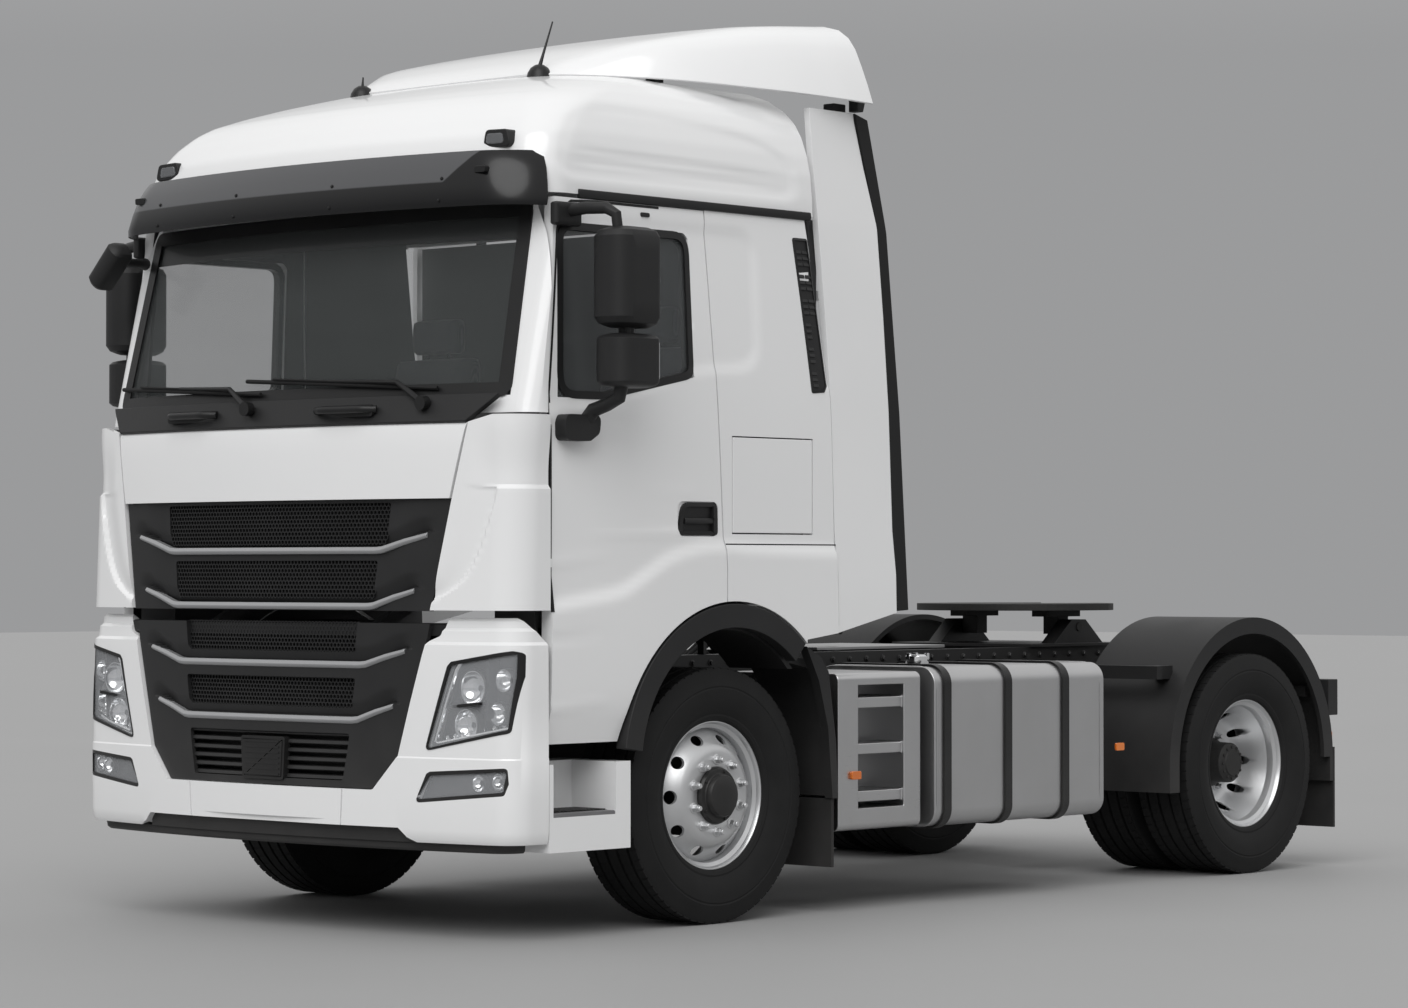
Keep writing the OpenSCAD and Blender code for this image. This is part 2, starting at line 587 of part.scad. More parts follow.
module front_panel() color(white) intersection() {
  leaned(-nose + 2, panel_foot, panel_lean) along_z(-60, 900)
    nose_shell(-nose + 2, front_arc, cab_half_w, 150, -1000, 14);
  along_y(-1500, -900) polygon([[-944, 1667], [944, 1667], [1009, 1955], [-1009, 1955]]);
}
module upper_grille() color(dark) difference() {
  intersection() {
    leaned(-nose + 8, panel_foot, panel_lean) along_z(-60, 900)
      nose_shell(-nose + 6, front_arc, cab_half_w, 150, -1000, 18);
    along_y(-1500, -900) polygon([[-857, panel_foot], [857, panel_foot], [942, 1664], [-942, 1664]]);
  }
  for (row = [[1320, 1430, 560], [1530, 1640, 620]])
    along_y(-1500, -1000) polygon([[-row[2], row[0]], [row[2], row[0]], [row[2] + 20, row[1]],
      [-row[2] - 20, row[1]]]);
}
module sun_visor() color([0.12, 0.12, 0.13]) difference() {
  leaned(-1278, 2775, 14) along_z(-30, 240) nose_shell(-1278, screen_arc, 1212, 250, -990, 14);
  box([-1300, -1500, 2600], [1300, -900, 2772]);
  box([-1300, -1500, 2988], [1300, -900, 3200]);
}
module arch_trims() color(dark) both() intersection() {
  along_x(1195, 1250) difference() {
    arch_hole(arch_r - 10);
    arch_hole(arch_in);
  }
  along_x(1194, 1251) polygon([[arch_y, arch_z], [-900, 754], [-900, 1500], [700, 1500], [700, 1117],
    [460, 1117]]);
}
module roof_volume(t) intersection() {
  along_y(-1300, 700) roof_section(t);
  along_x(-1300, 1300) polygon([[-1150 + t, roof_seam - 1 - 2 * t], [-1130 + t, 2990],
    [-1040 + t, 3130 - t], [-860 + t, 3262 - t],
    [-560, 3362 - t], [-200, roof_top - 12 - t], [150, roof_top - t], [520, roof_top - t],
    [560 - t, 3300], [560 - t, roof_seam - 1 - 2 * t]]);
  along_z(roof_seam - 10 - 2 * t, 3500) nose_plan(-1165 + t, screen_arc, 1194 - t, 160 - t, 700);
}
module roof_section(t) polygon([[-1190 + t, roof_seam - 5 - 3 * t], [1190 - t, roof_seam - 5 - 3 * t],
  [1188 - t, 2900],
  [1168 - t, 3060], [1120 - t, 3210 - t * 0.6], [1030 - t, 3310 - t], [860, 3372 - t], [600, 3402 - t],
  [300, roof_top - 4 - t], [0, roof_top - t], [-300, roof_top - 4 - t], [-600, 3402 - t],
    [-860, 3372 - t],
  [-1030 + t, 3310 - t], [-1120 + t, 3210 - t * 0.6], [-1168 + t, 3060], [-1188 + t, 2900]]);
module high_roof() color(white) difference() {
  roof_volume(0);
  roof_volume(40);
  box([-1300, -1300, 2700], [1300, 700, roof_seam]);
}
module roof_deflector() color(white) difference() {
  deflector_volume(0);
  deflector_volume(30);
  roof_volume(-6);
}
module deflector_volume(t) intersection() {
  along_x(-1300, 1300) polygon([[-350 + t, 3380 - 2 * t], [-330 + t, 3440 - t], [-200, 3500 - t],
    [0, 3552 - t], [250, 3606 - t],
    [500, 3650 - t], [850 + t, deflector_top - t], [900 + t, 3350 - 2 * t], [850 + t, 3319 - 2 * t],
      [560, 3322 - 2 * t]]);
  along_y(-400, 960) polygon([[-1240 + t, 3290 - 2 * t], [1240 - t, 3290 - 2 * t], [1236 - t, 3319],
    [1185 - t, 3480],
    [1154 - t, 3553], [1110 - t, 3612 - t], [1040 - t, 3646 - t], [870, 3666 - t],
      [500, deflector_top - t], [-500, deflector_top - t],
    [-870, 3666 - t], [-1040 + t, 3646 - t], [-1110 + t, 3612 - t], [-1154 + t, 3553],
      [-1185 + t, 3480], [-1236 + t, 3319]]);
  along_z(3200, 3800) polygon([[-520 + t, -350 + t], [520 - t, -350 + t], [1240 - t * 1.2, 860],
    [1240 - t * 1.2, 880 + t],
    [-1240 + t * 1.2, 880 + t], [-1240 + t * 1.2, 860]]);
}
module side_deflectors() color(white) both() {
  intersection() {
    along_y(300, 1040) polygon(concat([for (p = side_line(0)) if (p[1] < roof_seam) [p[0] - 3, p[1]]],
      [[1187, roof_seam], [1160, 3060], [1140, 3285], [1110, 3285], [1130, 3060], [1157, roof_seam]],
      [for (p = backwards(side_line(30))) if (p[1] < roof_seam) [p[0] - 3, p[1]]]));
    along_x(1000, 1300) polygon([[cab_rear + 8, 1180], [cab_rear + 4, 1142], [1034, 1221],
      [970, 2809], [868, 3285],
      [594, 3285], [594, 2790], [cab_rear - 24, 2090]]);
  }
  box([1090, 651, 1700], [1200, 700, 1740]);
  box([1090, 651, 2500], [1185, 700, 2540]);
}
module deflector_edges() color(dark) both() {
  intersection() {
    along_x(1138, 1236) polygon([[1037, 1228], [1120, 1232], [1036, 2796], [952, 3262], [872, 3284],
      [974, 2809]]);
    along_y(800, 1200) polygon([[1206, 1200], [1234, 1200], [1222, 2050], [1184, roof_seam],
      [1150, 3300], [1120, 3300],
      [1154, roof_seam], [1192, 2050]]);
  }
}
module dashboard() color([0.2, 0.2, 0.21]) intersection() {
  along_x(-1150, 1150) polygon([[-998, 1301], [-760, 1301], [-640, 1750], [-660, 1960], [-760, 2030],
    [-998, 2040]]);
  box([-1150, -998, 1301], [1150, -600, 2060]);
}
module steering_wheel() color(dark) translate([620, -520, 1960]) rotate([-35, 0, 0]) {
  rotate_extrude($fn = 64) translate([215, 0]) circle(15, $fn = 24);
  translate([0, 0, -30]) cylinder(h = 40, r = 70);
  for (a = [0, 120, 240]) rotate(a + 90) translate([40, -14, -18]) cube([165, 28, 16]);
  translate([0, 0, -170]) cylinder(h = 141, r = 35);
}
module seats() color([0.25, 0.25, 0.27]) for (x = [-620, 620]) translate([x, 0, 0]) {
  box([-180, -330, 1301], [180, 40, 1560]);
  along_x(-260, 260) round_rect(-380, 1560, 130, 1690, 50);
  along_x(-250, 250) polygon([[60, 1691], [175, 1691], [290, 2300], [210, 2320], [160, 2280]]);
  along_x(-140, 140) polygon([[215, 2325], [295, 2305], [310, 2460], [240, 2475]]);
}
module bunk() color([0.3, 0.3, 0.33]) {
  along_x(-1080, 1080) round_rect(330, 1500, 590, 1630, 40);
  box([-1080, 340, 1301], [1080, 590, 1499]);
}

// ---------- nodes ----------

place() ladder_frame();
place() front_axle();
place() rear_axle();
place() springs();
place() engine();
place() bumper();
place() lower_grille();
place() front_lamps();
place() entry_steps();
place() mudguards();
place() fuel_tank();
place() tank_straps();
place() step_tank();
place() exhaust_box();
place() air_tanks();
place() fifth_wheel_base();
place() mud_flaps();
place() tail_lamps();
place() fifth_wheel_plate();
place() cab_shell();
place() cab_sides();
place() windscreen_frame();
place() windscreen();
place() high_roof();
place() roof_deflector();
place() front_mirror();
place() side_deflectors();
place() deflector_edges();
place() cowl();
place() corner_panels();
place() sun_visor();
place() arch_trims();
place() color(white) locker_lid();  // left_locker_lid
place() color(white) mirror([1, 0, 0]) locker_lid();  // right_locker_lid
place() dashboard();
place() steering_wheel();
place() seats();
place() bunk();
place() front_panel();
place() upper_grille();
place() color(white) door();  // left_door
place() color([0.15, 0.17, 0.18]) door_glass();  // left_door_glass
place() color(dark) mirror_unit();  // left_mirror
place() color(white) mirror([1, 0, 0]) door();  // right_door
place() color([0.15, 0.17, 0.18]) mirror([1, 0,  // right_door_glass
  0]) door_glass();
place() color(dark) mirror([1, 0, 0]) mirror_unit();  // right_mirror
place() knuckle(1);  // left_knuckle
place() knuckle(-1);  // right_knuckle
place() tie_rod();
place() wheel_tyre(front_track_half);  // front_left_tyre
place() front_rim(1);  // front_left_rim
place() wheel_tyre(-front_track_half);  // front_right_tyre
place() front_rim(-1);  // front_right_rim
place() twin_tyres(1);  // rear_left_tyres
place() rear_rims(1);  // rear_left_rims
place() twin_tyres(-1);  // rear_right_tyres
place() rear_rims(-1);  // rear_right_rims
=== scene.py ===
"""Finish model of a two-axle road tractor: panels, glass, lamps, wheels and fine parts.
Metres. Makers take Y from the front axle; set_down() moves it into the frame."""

import json
import math

import bmesh
import bpy
import numpy as np
from mathutils import Matrix, Vector


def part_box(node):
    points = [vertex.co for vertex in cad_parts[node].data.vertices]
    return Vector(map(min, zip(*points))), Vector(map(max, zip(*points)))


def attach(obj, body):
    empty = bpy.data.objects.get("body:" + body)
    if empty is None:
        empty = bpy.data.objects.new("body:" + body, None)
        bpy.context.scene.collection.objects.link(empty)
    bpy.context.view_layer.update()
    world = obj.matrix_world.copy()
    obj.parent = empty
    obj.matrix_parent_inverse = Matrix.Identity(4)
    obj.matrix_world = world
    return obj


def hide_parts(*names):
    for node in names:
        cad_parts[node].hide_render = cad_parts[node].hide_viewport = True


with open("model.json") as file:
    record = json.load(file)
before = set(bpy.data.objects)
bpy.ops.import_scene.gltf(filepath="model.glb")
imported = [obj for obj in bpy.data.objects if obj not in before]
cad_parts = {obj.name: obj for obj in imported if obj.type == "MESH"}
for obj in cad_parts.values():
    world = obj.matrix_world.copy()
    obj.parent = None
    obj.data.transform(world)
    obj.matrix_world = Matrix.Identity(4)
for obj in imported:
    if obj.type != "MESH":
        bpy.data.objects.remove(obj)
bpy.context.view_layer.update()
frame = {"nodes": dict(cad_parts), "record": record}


def middle_of(node):
    low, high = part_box(node)
    return (low + high) / 2


NODES = frame["nodes"]
AXLE = middle_of("front_left_tyre").y
REAR = middle_of("rear_left_tyres").y - AXLE
HUB_Z = middle_of("front_left_tyre").z
TYRE_X = middle_of("front_left_tyre").x
TWIN_X = middle_of("rear_left_tyres").x
TYRE_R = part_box("front_left_tyre")[1].z - HUB_Z
SIDES = (1, -1)
HANDS = {"left": 1, "right": -1}


# ---------- paint: shader maths written as expressions ----------
class Wire:
    """A number socket; arithmetic on it adds Math nodes."""

    def __init__(self, paint, socket):
        self.paint = paint
        self.socket = socket

    def _with(self, operation, *values):
        return self.paint.node("Math", {"operation": operation}, *values)

    def __add__(self, other):
        return self._with("ADD", self, other)

    def __sub__(self, other):
        return self._with("SUBTRACT", self, other)

    def __rsub__(self, other):
        return self._with("SUBTRACT", other, self)

    def __mul__(self, other):
        return self._with("MULTIPLY", self, other)

    __radd__ = __add__
    __rmul__ = __mul__

    def wave(self):
        return self._with("SINE", self)

    def ramp(self, low, high):
        """0 below low, 1 above high, smooth between."""
        settings = {"interpolation_type": "SMOOTHSTEP"}
        return self.paint.node("MapRange", settings, self, low, high, 0.0, 1.0)


class Paint:
    """A node material built from expressions."""

    def __init__(self, name, **sockets):
        self.material = bpy.data.materials.new(name)
        self.material.use_nodes = True
        self.tree = self.material.node_tree
        self.shader = self.tree.nodes["Principled BSDF"]
        self.place = self.node("TexCoord", {}, output="Object")
        self.set(**sockets)

    def _join(self, value, socket):
        if isinstance(value, Wire):
            self.tree.links.new(value.socket, socket)
        elif isinstance(value, (tuple, list)) and len(value) == 3 and socket.type == "RGBA":
            socket.default_value = (*value, 1.0)
        else:
            socket.default_value = value

    def node(self, kind, settings, *values, output=0, **named):
        made = self.tree.nodes.new("ShaderNode" + kind)
        for key, value in settings.items():
            if key == "stops":
                for stop, (at, colour) in zip(made.color_ramp.elements, value):
                    stop.position, stop.color = at, (*colour, 1.0)
            else:
                setattr(made, key, value)
        for socket, value in zip(made.inputs, values):
            self._join(value, socket)
        for key, value in named.items():
            self._join(value, made.inputs[key])
        return Wire(self, made.outputs[output])

    def set(self, **sockets):
        for key, value in sockets.items():
            self._join(value, self.shader.inputs[key.replace("_", " ")])

    def axis(self, which):
        return self.node("SeparateXYZ", {}, self.place, output=which)

    def stretched(self, x, y, z):
        return self.node("Mapping", {}, self.place, Scale=(x, y, z))

    def noise(self, scale, detail=2.0, at=None, rough=0.5):
        return self.node("TexNoise", {}, Vector=at or self.place, Scale=scale, Detail=detail,
                         Roughness=rough)

    def cells(self, scale):
        return self.node("TexVoronoi", {"feature": "F1"}, Vector=self.place, Scale=scale)

    def blend(self, share, first, second):
        made = self.tree.nodes.new("ShaderNodeMix")
        made.data_type = "RGBA"
        self._join(share, made.inputs[0])
        self._join(first, made.inputs[6])
        self._join(second, made.inputs[7])
        return Wire(self, made.outputs[2])

    def bump(self, height, depth, strength=1.0):
        self.set(Normal=self.node("Bump", {}, Strength=strength, Distance=depth, Height=height))


def dust(paint, colour, tint, reach=1.1, share=0.35):
    """Colour with a haze of road dust that thickens towards the ground."""
    low = 1.0 - paint.axis("Z").ramp(0.1, reach)
    return paint.blend(low * paint.noise(6.0, 6.0) * share, colour, tint)


def cab_white():
    paint = Paint("cab_white", Coat_Weight=0.7, Coat_Roughness=0.06, Roughness=0.34)
    shade = paint.noise(1.6, 3.0)
    colour = paint.blend(shade, (0.80, 0.805, 0.81), (0.83, 0.83, 0.83))
    paint.set(Base_Color=dust(paint, colour, (0.6, 0.59, 0.57), 0.7, 0.12))
    paint.bump(paint.noise(420.0, 2.0), 0.0002, 0.25)
    return paint.material


def grained_black(name, level=0.011, rough=0.5, grain=900.0):
    paint = Paint(name, Specular_IOR_Level=0.32)
    shade = paint.noise(5.0, 4.0)
    lift = (level * 1.7, level * 1.7, level * 1.75)
    colour = paint.blend(shade, (level, level, level * 1.03), lift)
    paint.set(Base_Color=dust(paint, colour, (0.12, 0.115, 0.11)))
    paint.set(Roughness=rough + (shade - 0.5) * 0.16)
    paint.bump(paint.cells(grain), 0.0004, 0.35)
    return paint.material


def chassis_black():
    paint = Paint("chassis_black")
    wear = paint.noise(14.0, 8.0).ramp(0.62, 0.78)
    base = paint.blend(wear * 0.4, (0.009, 0.009, 0.0095), (0.05, 0.048, 0.046))
    paint.set(Base_Color=dust(paint, base, (0.16, 0.15, 0.14), 1.3, 0.4))
    paint.set(Roughness=0.42 + wear * 0.25)
    paint.bump(paint.noise(160.0, 4.0), 0.0006, 0.3)
    return paint.material


def cast_iron():
    paint = Paint("cast_iron_black", Metallic=0.3)
    grit = paint.noise(90.0, 6.0)
    paint.set(Base_Color=paint.blend(grit, (0.012, 0.012, 0.0125), (0.045, 0.044, 0.042)))
    paint.set(Roughness=0.5 + grit * 0.25)
    paint.bump(grit, 0.0012, 0.6)
    return paint.material


def brushed_metal(name, along, level=0.72, rough=0.26):
    """Bright metal brushed along one axis."""
    paint = Paint(name, Metallic=1.0)
    scale = [260.0, 260.0, 260.0]
    scale[along] = 5.0
    lines = paint.noise(1.0, 4.0, paint.stretched(*scale), 0.7)
    cloud = paint.noise(3.0, 3.0)
    colour = paint.blend(cloud, (level * 0.84,) * 3, (level, level, level * 1.01))
    paint.set(Base_Color=colour, Roughness=rough + lines * 0.14 + cloud * 0.06)
    paint.bump(lines, 0.0004, 0.3)
    return paint.material


def satin_silver():
    """Satin silver paint of the grille bars."""
    paint = Paint("bar_silver", Metallic=0.35, Coat_Weight=0.3, Coat_Roughness=0.15)
    fleck = paint.noise(500.0, 2.0)
    paint.set(Base_Color=paint.blend(fleck, (0.30, 0.303, 0.31), (0.38, 0.383, 0.39)),
              Roughness=0.3 + fleck * 0.1)
    paint.bump(fleck, 0.0002, 0.2)
    return paint.material


def wheel_silver():
    paint = Paint("wheel_silver", Metallic=0.75, Coat_Weight=0.3, Coat_Roughness=0.2)
    fleck = paint.noise(700.0, 2.0)
    cloud = paint.noise(9.0, 4.0)
    paint.set(Base_Color=paint.blend(cloud, (0.56, 0.565, 0.575), (0.68, 0.685, 0.69)))
    paint.set(Roughness=0.3 + fleck * 0.12)
    paint.bump(fleck, 0.0002, 0.25)
    return paint.material


def tyre_black():
    paint = Paint("tyre_black")
    bloom = paint.noise(11.0, 6.0)
    paint.set(Specular_IOR_Level=0.25)
    colour = paint.blend(bloom, (0.006, 0.006, 0.0063), (0.016, 0.016, 0.016))
    paint.set(Base_Color=colour, Roughness=0.62 + bloom * 0.2)
    paint.bump(paint.noise(240.0, 5.0), 0.0006, 0.4)
    return paint.material


def glass(name, colour, alpha, rough=0.02):
    """Glass pane: see-through by its alpha, with faint streaks in the gloss."""
    paint = Paint(name, Base_Color=colour, IOR=1.5, Coat_Weight=0.5, Coat_Roughness=0.02)
    streak = paint.noise(1.0, 3.0, paint.stretched(2.0, 2.0, 14.0))
    paint.set(Roughness=rough + streak * 0.03, Alpha=alpha + streak * 0.03)
    return paint.material


def smoked_sheet():
    """Smoked visor: near black, with a painted reflection on its upper middle: a paler band."""
    paint = Paint("smoked_sheet", Coat_Weight=0.15, Coat_Roughness=0.1, Specular_IOR_Level=0.3)
    height, side = paint.axis("Z"), paint.axis("X")
    # painted reflection: a paler band over the upper middle, ending in a diagonal near the truck's left end
    slant = (side - 0.95 + (2.99 - height) * 1.1).ramp(0.0, 0.012)
    band = height.ramp(2.868, 2.876) * (1.0 - slant) * (side + 1.06).ramp(0.0, 0.02)
    colour = paint.blend(band, (0.005, 0.005, 0.0055), (0.085, 0.086, 0.09))
    paint.set(Base_Color=colour, Roughness=0.2 + paint.noise(30.0, 3.0) * 0.08)
    return paint.material


def chrome():
    paint = Paint("lamp_chrome", Metallic=1.0)
    paint.set(Base_Color=paint.blend(paint.noise(20.0), (0.72, 0.73, 0.74), (0.86, 0.86, 0.87)))
    paint.set(Roughness=0.07 + paint.noise(60.0) * 0.06)
    return paint.material


def coloured_lens(name, colour, deep):
    paint = Paint(name, Coat_Weight=0.8, Coat_Roughness=0.03)
    ribs = (paint.axis("X") * 520.0).wave() * 0.5 + 0.5
    paint.set(Base_Color=paint.blend(ribs, deep, colour), Roughness=0.15 + ribs * 0.1)
    paint.bump(ribs, 0.0006, 0.5)
    return paint.material


def trim_grey():
    paint = Paint("cab_trim_grey")
    grain = paint.cells(500.0)
    paint.set(Base_Color=paint.blend(paint.noise(4.0, 3.0), (0.05, 0.05, 0.052), (0.09, 0.09, 0.092)))
    paint.set(Roughness=0.6 + grain * 0.1)
    paint.bump(grain, 0.0005, 0.4)
    return paint.material


def seat_cloth():
    """Woven upholstery: two crossed threads and a soft nap."""
    paint = Paint("seat_cloth", Sheen_Weight=0.3, Sheen_Roughness=0.5)
    warp = (paint.axis("X") * 1700.0).wave() * 0.5 + 0.5
    weft = ((paint.axis("Z") + paint.axis("Y")) * 1700.0).wave() * 0.5 + 0.5
    weave = warp * weft
    nap = paint.noise(30.0, 5.0)
    colour = paint.blend(weave, (0.06, 0.062, 0.07), (0.2, 0.2, 0.22))
    paint.set(Base_Color=paint.blend(nap * 0.5, colour, (0.11, 0.11, 0.12)), Roughness=0.8 + nap * 0.15)
    paint.bump(weave + nap * 0.5, 0.0006, 0.6)
    return paint.material


def floor_grey():
    paint = Paint("floor_grey")
    cloud = paint.noise(0.6, 5.0)
    paint.set(Base_Color=paint.blend(cloud, (0.315, 0.315, 0.315), (0.34, 0.34, 0.34)),
              Roughness=0.6 + cloud * 0.1)
    return paint.material


WHITE = cab_white()
PLASTIC = grained_black("plastic_black")
SATIN = grained_black("satin_black", 0.008, 0.36, 1400.0)
GRILLE_GREY = grained_black("grille_grey", 0.013, 0.46, 1100.0)
DEEP = grained_black("deep_black", 0.006, 0.7)
GREY_PLASTIC = grained_black("grey_plastic", 0.12, 0.5)
CHASSIS = chassis_black()
CAST = cast_iron()
TANK = brushed_metal("tank_brushed", 0, 0.6)
STEP_METAL = brushed_metal("step_polished", 1, 0.62, 0.2)
BAR_SILVER = satin_silver()
BOX_METAL = brushed_metal("box_metal", 1, 0.5, 0.36)
RIM = wheel_silver()
TYRE = tyre_black()
FLAP = grained_black("flap_rubber", 0.008, 0.72, 400.0)
SCREEN = glass("screen_glass", (0.24, 0.26, 0.26), 0.08)
TINTED = glass("tinted_glass", (0.24, 0.255, 0.26), 0.14)
LENS = glass("lamp_lens", (0.75, 0.77, 0.8), 0.16)
SMOKED = smoked_sheet()
CHROME = chrome()
RED = coloured_lens("red_lens", (0.5, 0.012, 0.01), (0.2, 0.004, 0.004))
AMBER = coloured_lens("amber_lens", (0.75, 0.19, 0.015), (0.5, 0.1, 0.01))
TRIM = trim_grey()
CLOTH = seat_cloth()

# the slot each finish belongs to
SLOT_NAMES = {
    "white_paint": (WHITE,),
    "black_plastic": (PLASTIC, SATIN, GRILLE_GREY, DEEP, GREY_PLASTIC),
    "chassis_paint": (CHASSIS,),
    "cast_parts": (CAST,),
    "tank_metal": (TANK, STEP_METAL, BOX_METAL),
    "wheel_metal": (BAR_SILVER, RIM, CHROME),
    "tyre_rubber": (TYRE,),
    "flap_rubber": (FLAP,),
    "screen_glass": (SCREEN,),
    "tinted_glass": (TINTED,),
    "lamp_lens": (LENS,),
    "smoked_visor": (SMOKED,),
    "red_lens": (RED, AMBER),
    "interior_trim": (TRIM,),
    "seat_fabric": (CLOTH,),
}
SLOT_OF = {finish.name: slot for slot, finishes in SLOT_NAMES.items() for finish in finishes}


# ---------- makers ----------
def linked(name, data):
    """A new object for a mesh, lamp or camera, linked into the scene."""
    obj = bpy.data.objects.new(name, data)
    bpy.context.scene.collection.objects.link(obj)
    return obj


class Shape:
    """Vertices and faces gathered from closed solids, Y from the front axle."""

    def __init__(self):
        self.verts = []
        self.faces = []

    def add(self, verts, faces):
        start = len(self.verts)
        self.verts += [tuple(v) for v in verts]
        self.faces += [tuple(start + i for i in face) for face in faces]
        return self

    def loft(self, rings, caps=True, loop=False):
        """Closed rings of equal length, joined in order; loop joins the last to the first."""
        count = len(rings[0])
        verts = [point for ring in rings for point in ring]
        faces = []
        last = len(rings) if loop else len(rings) - 1
        for r in range(last):
            a, b = r * count, (r + 1) % len(rings) * count
            faces += [(a + i, a + (i + 1) % count, b + (i + 1) % count, b + i) for i in range(count)]
        if caps and not loop:
            faces += [tuple(range(count))[::-1], tuple(range(len(verts) - count, len(verts)))]
        return self.add(verts, faces)

    def box(self, low, high):
        (x0, y0, z0), (x1, y1, z1) = low, high
        return self.loft([[(x, y0, z0), (x, y1, z0), (x, y1, z1), (x, y0, z1)] for x in (x0, x1)])

    def prism(self, outline, axis, start, end):
        """A 2-D outline drawn along an axis: (y, z) for x, (x, z) for y, (x, y) for z."""
        def lift(point, at):
            a, b = point
            return {"x": (at, a, b), "y": (a, at, b), "z": (a, b, at)}[axis]
        return self.loft([[lift(p, at) for p in outline] for at in (start, end)])

    def lathe(self, profile, centre, axis="x", count=96, loop=True):
        """(radius, along) points turned about an axis through centre."""
        rings = []
        for turn in turns(count):
            c, s = math.cos(turn), math.sin(turn)
            spun = []
            for r, a in profile:
                offset = {"x": (a, r * c, r * s), "y": (r * c, a, r * s), "z": (r * c, r * s, a)}[axis]
                spun.append(tuple(p + q for p, q in zip(centre, offset)))
            rings.append(spun)
        if loop:
            return self.loft(rings, loop=True)
        count_p = len(profile)
        faces = []
        for r in range(count):
            a, b = r * count_p, (r + 1) % count * count_p
            faces += [(a + i, a + i + 1, b + i + 1, b + i) for i in range(count_p - 1)]
        faces += [tuple(r * count_p for r in range(count)),
                  tuple(r * count_p + count_p - 1 for r in range(count))[::-1]]
        return self.add([p for ring in rings for p in ring], faces)

    def disc(self, centre, radius, depth, axis="x", count=32, lip=0.0):
        """A short turned puck with a chamfered lip, its face towards +axis."""
        profile = [(radius, 0.0), (radius, depth - lip), (radius - lip, depth)]
        return self.lathe(profile, centre, axis, count, loop=False)

    def tube(self, path, radius, sides=12):
        """A round bar through the points, its frame turned as little as possible."""
        points = [Vector(p) for p in path]
        aim = (points[1] - points[0]).normalized()
        up = Vector((0, 0, 1)) if abs(aim.z) < 0.9 else Vector((1, 0, 0))
        side = aim.cross(up).normalized()
        rings = []
        for i, point in enumerate(points):
            ahead = points[min(i + 1, len(points) - 1)] - points[max(i - 1, 0)]
            aim = ahead.normalized()
            side = (side - aim * side.dot(aim)).normalized()
            over = aim.cross(side)
            r = radius[i] if isinstance(radius, (list, tuple)) else radius
            rings.append([point + side * (r * math.cos(t)) + over * (r * math.sin(t))
                          for t in turns(sides)])
        return self.loft(rings)

    def skin(self, grid, thick, base=None):
        """A closed sheet: rows of points, thickened inwards from them or from a smoother base."""
        points = np.array(grid, float)
        smoother = points if base is None else np.array(base, float)
        normal = np.cross(np.gradient(smoother, axis=0), np.gradient(smoother, axis=1))
        normal /= np.linalg.norm(normal, axis=2, keepdims=True) + 1e-12
        back = smoother - normal * thick
        rows, cols = points.shape[:2]
        rings = []
        for i in range(rows):
            rings.append([tuple(p) for p in points[i]] + [tuple(p) for p in back[i][::-1]])
        count = 2 * cols
        faces = []
        for r in range(rows - 1):
            a, b = r * count, (r + 1) * count
            faces += [(a + i, a + (i + 1) % count, b + (i + 1) % count, b + i) for i in range(count)]
        for r in (0, rows - 1):
            a = r * count
            faces += [(a + i, a + i + 1, a + count - 2 - i, a + count - 1 - i) for i in range(cols - 1)]
        return self.add([p for ring in rings for p in ring], faces)

    def take(self, *others):
        for other in others:
            self.add(other.verts, other.faces)
        return self


def rounded(corners, radius, steps=5):
    """A 2-D outline with each corner replaced by an arc; radius may be one per corner."""
    out = []
    for i, corner in enumerate(corners):
        r = radius[i] if isinstance(radius, (list, tuple)) else radius
        here = Vector(corner)
        back = (Vector(corners[i - 1]) - here)
        ahead = (Vector(corners[(i + 1) % len(corners)]) - here)
        half = back.angle(ahead) / 2
        run = min(r / math.tan(half), 0.49 * back.length, 0.49 * ahead.length)
        start, end = here + back.normalized() * run, here + ahead.normalized() * run
        for k in range(steps + 1):
            t = k / steps
            out.append(tuple(start * (1 - t) ** 2 + here * (2 * t * (1 - t)) + end * t ** 2))
    return out


def oblong(x, y, half_x, half_y):
    """Corners of a rectangle round a point."""
    return [(x - half_x, y - half_y), (x + half_x, y - half_y), (x + half_x, y + half_y),
            (x - half_x, y + half_y)]


def inset(outline, amount):
    """A 2-D outline moved inwards by amount, for outlines listed either way round."""
    points = [Vector(p) for p in outline]
    area = sum(a.x * b.y - b.x * a.y for a, b in zip(points, points[1:] + points[:1]))
    turn = 1 if area > 0 else -1
    out = []
    for i, here in enumerate(points):
        ahead = (points[(i + 1) % len(points)] - points[i - 1]).normalized()
        out.append((here.x - ahead.y * amount * turn, here.y + ahead.x * amount * turn))
    return out


def turns(count, shift=0.0):
    """Angles of count even steps round a circle, the first one shifted by a share of a step."""
    return [2 * math.pi * (k + shift) / count for k in range(count)]


def spaced(start, end, steps):
    """Even values from start to end, both included."""
    return [start + (end - start) * k / steps for k in range(steps + 1)]


def smooth(x, low, high):
    t = min(max((x - low) / (high - low), 0.0), 1.0)
    return t * t * (3 - 2 * t)


def through(points, x):
    """A smooth curve through (x, value) points, flat beyond its ends."""
    if x <= points[0][0]:
        return points[0][1]
    for k in range(len(points) - 1):
        (x0, v0), (x1, v1) = points[k], points[k + 1]
        if x <= x1:
            before = points[max(k - 1, 0)]
            after = points[min(k + 2, len(points) - 1)]
            m0 = (v1 - before[1]) / (x1 - before[0])
            m1 = (after[1] - v0) / (after[0] - x0)
            h = x1 - x0
            t = (x - x0) / h
            return ((2 * t ** 3 - 3 * t * t + 1) * v0 + (t ** 3 - 2 * t * t + t) * h * m0
                    + (3 * t * t - 2 * t ** 3) * v1 + (t ** 3 - t * t) * h * m1)
    return points[-1][1]


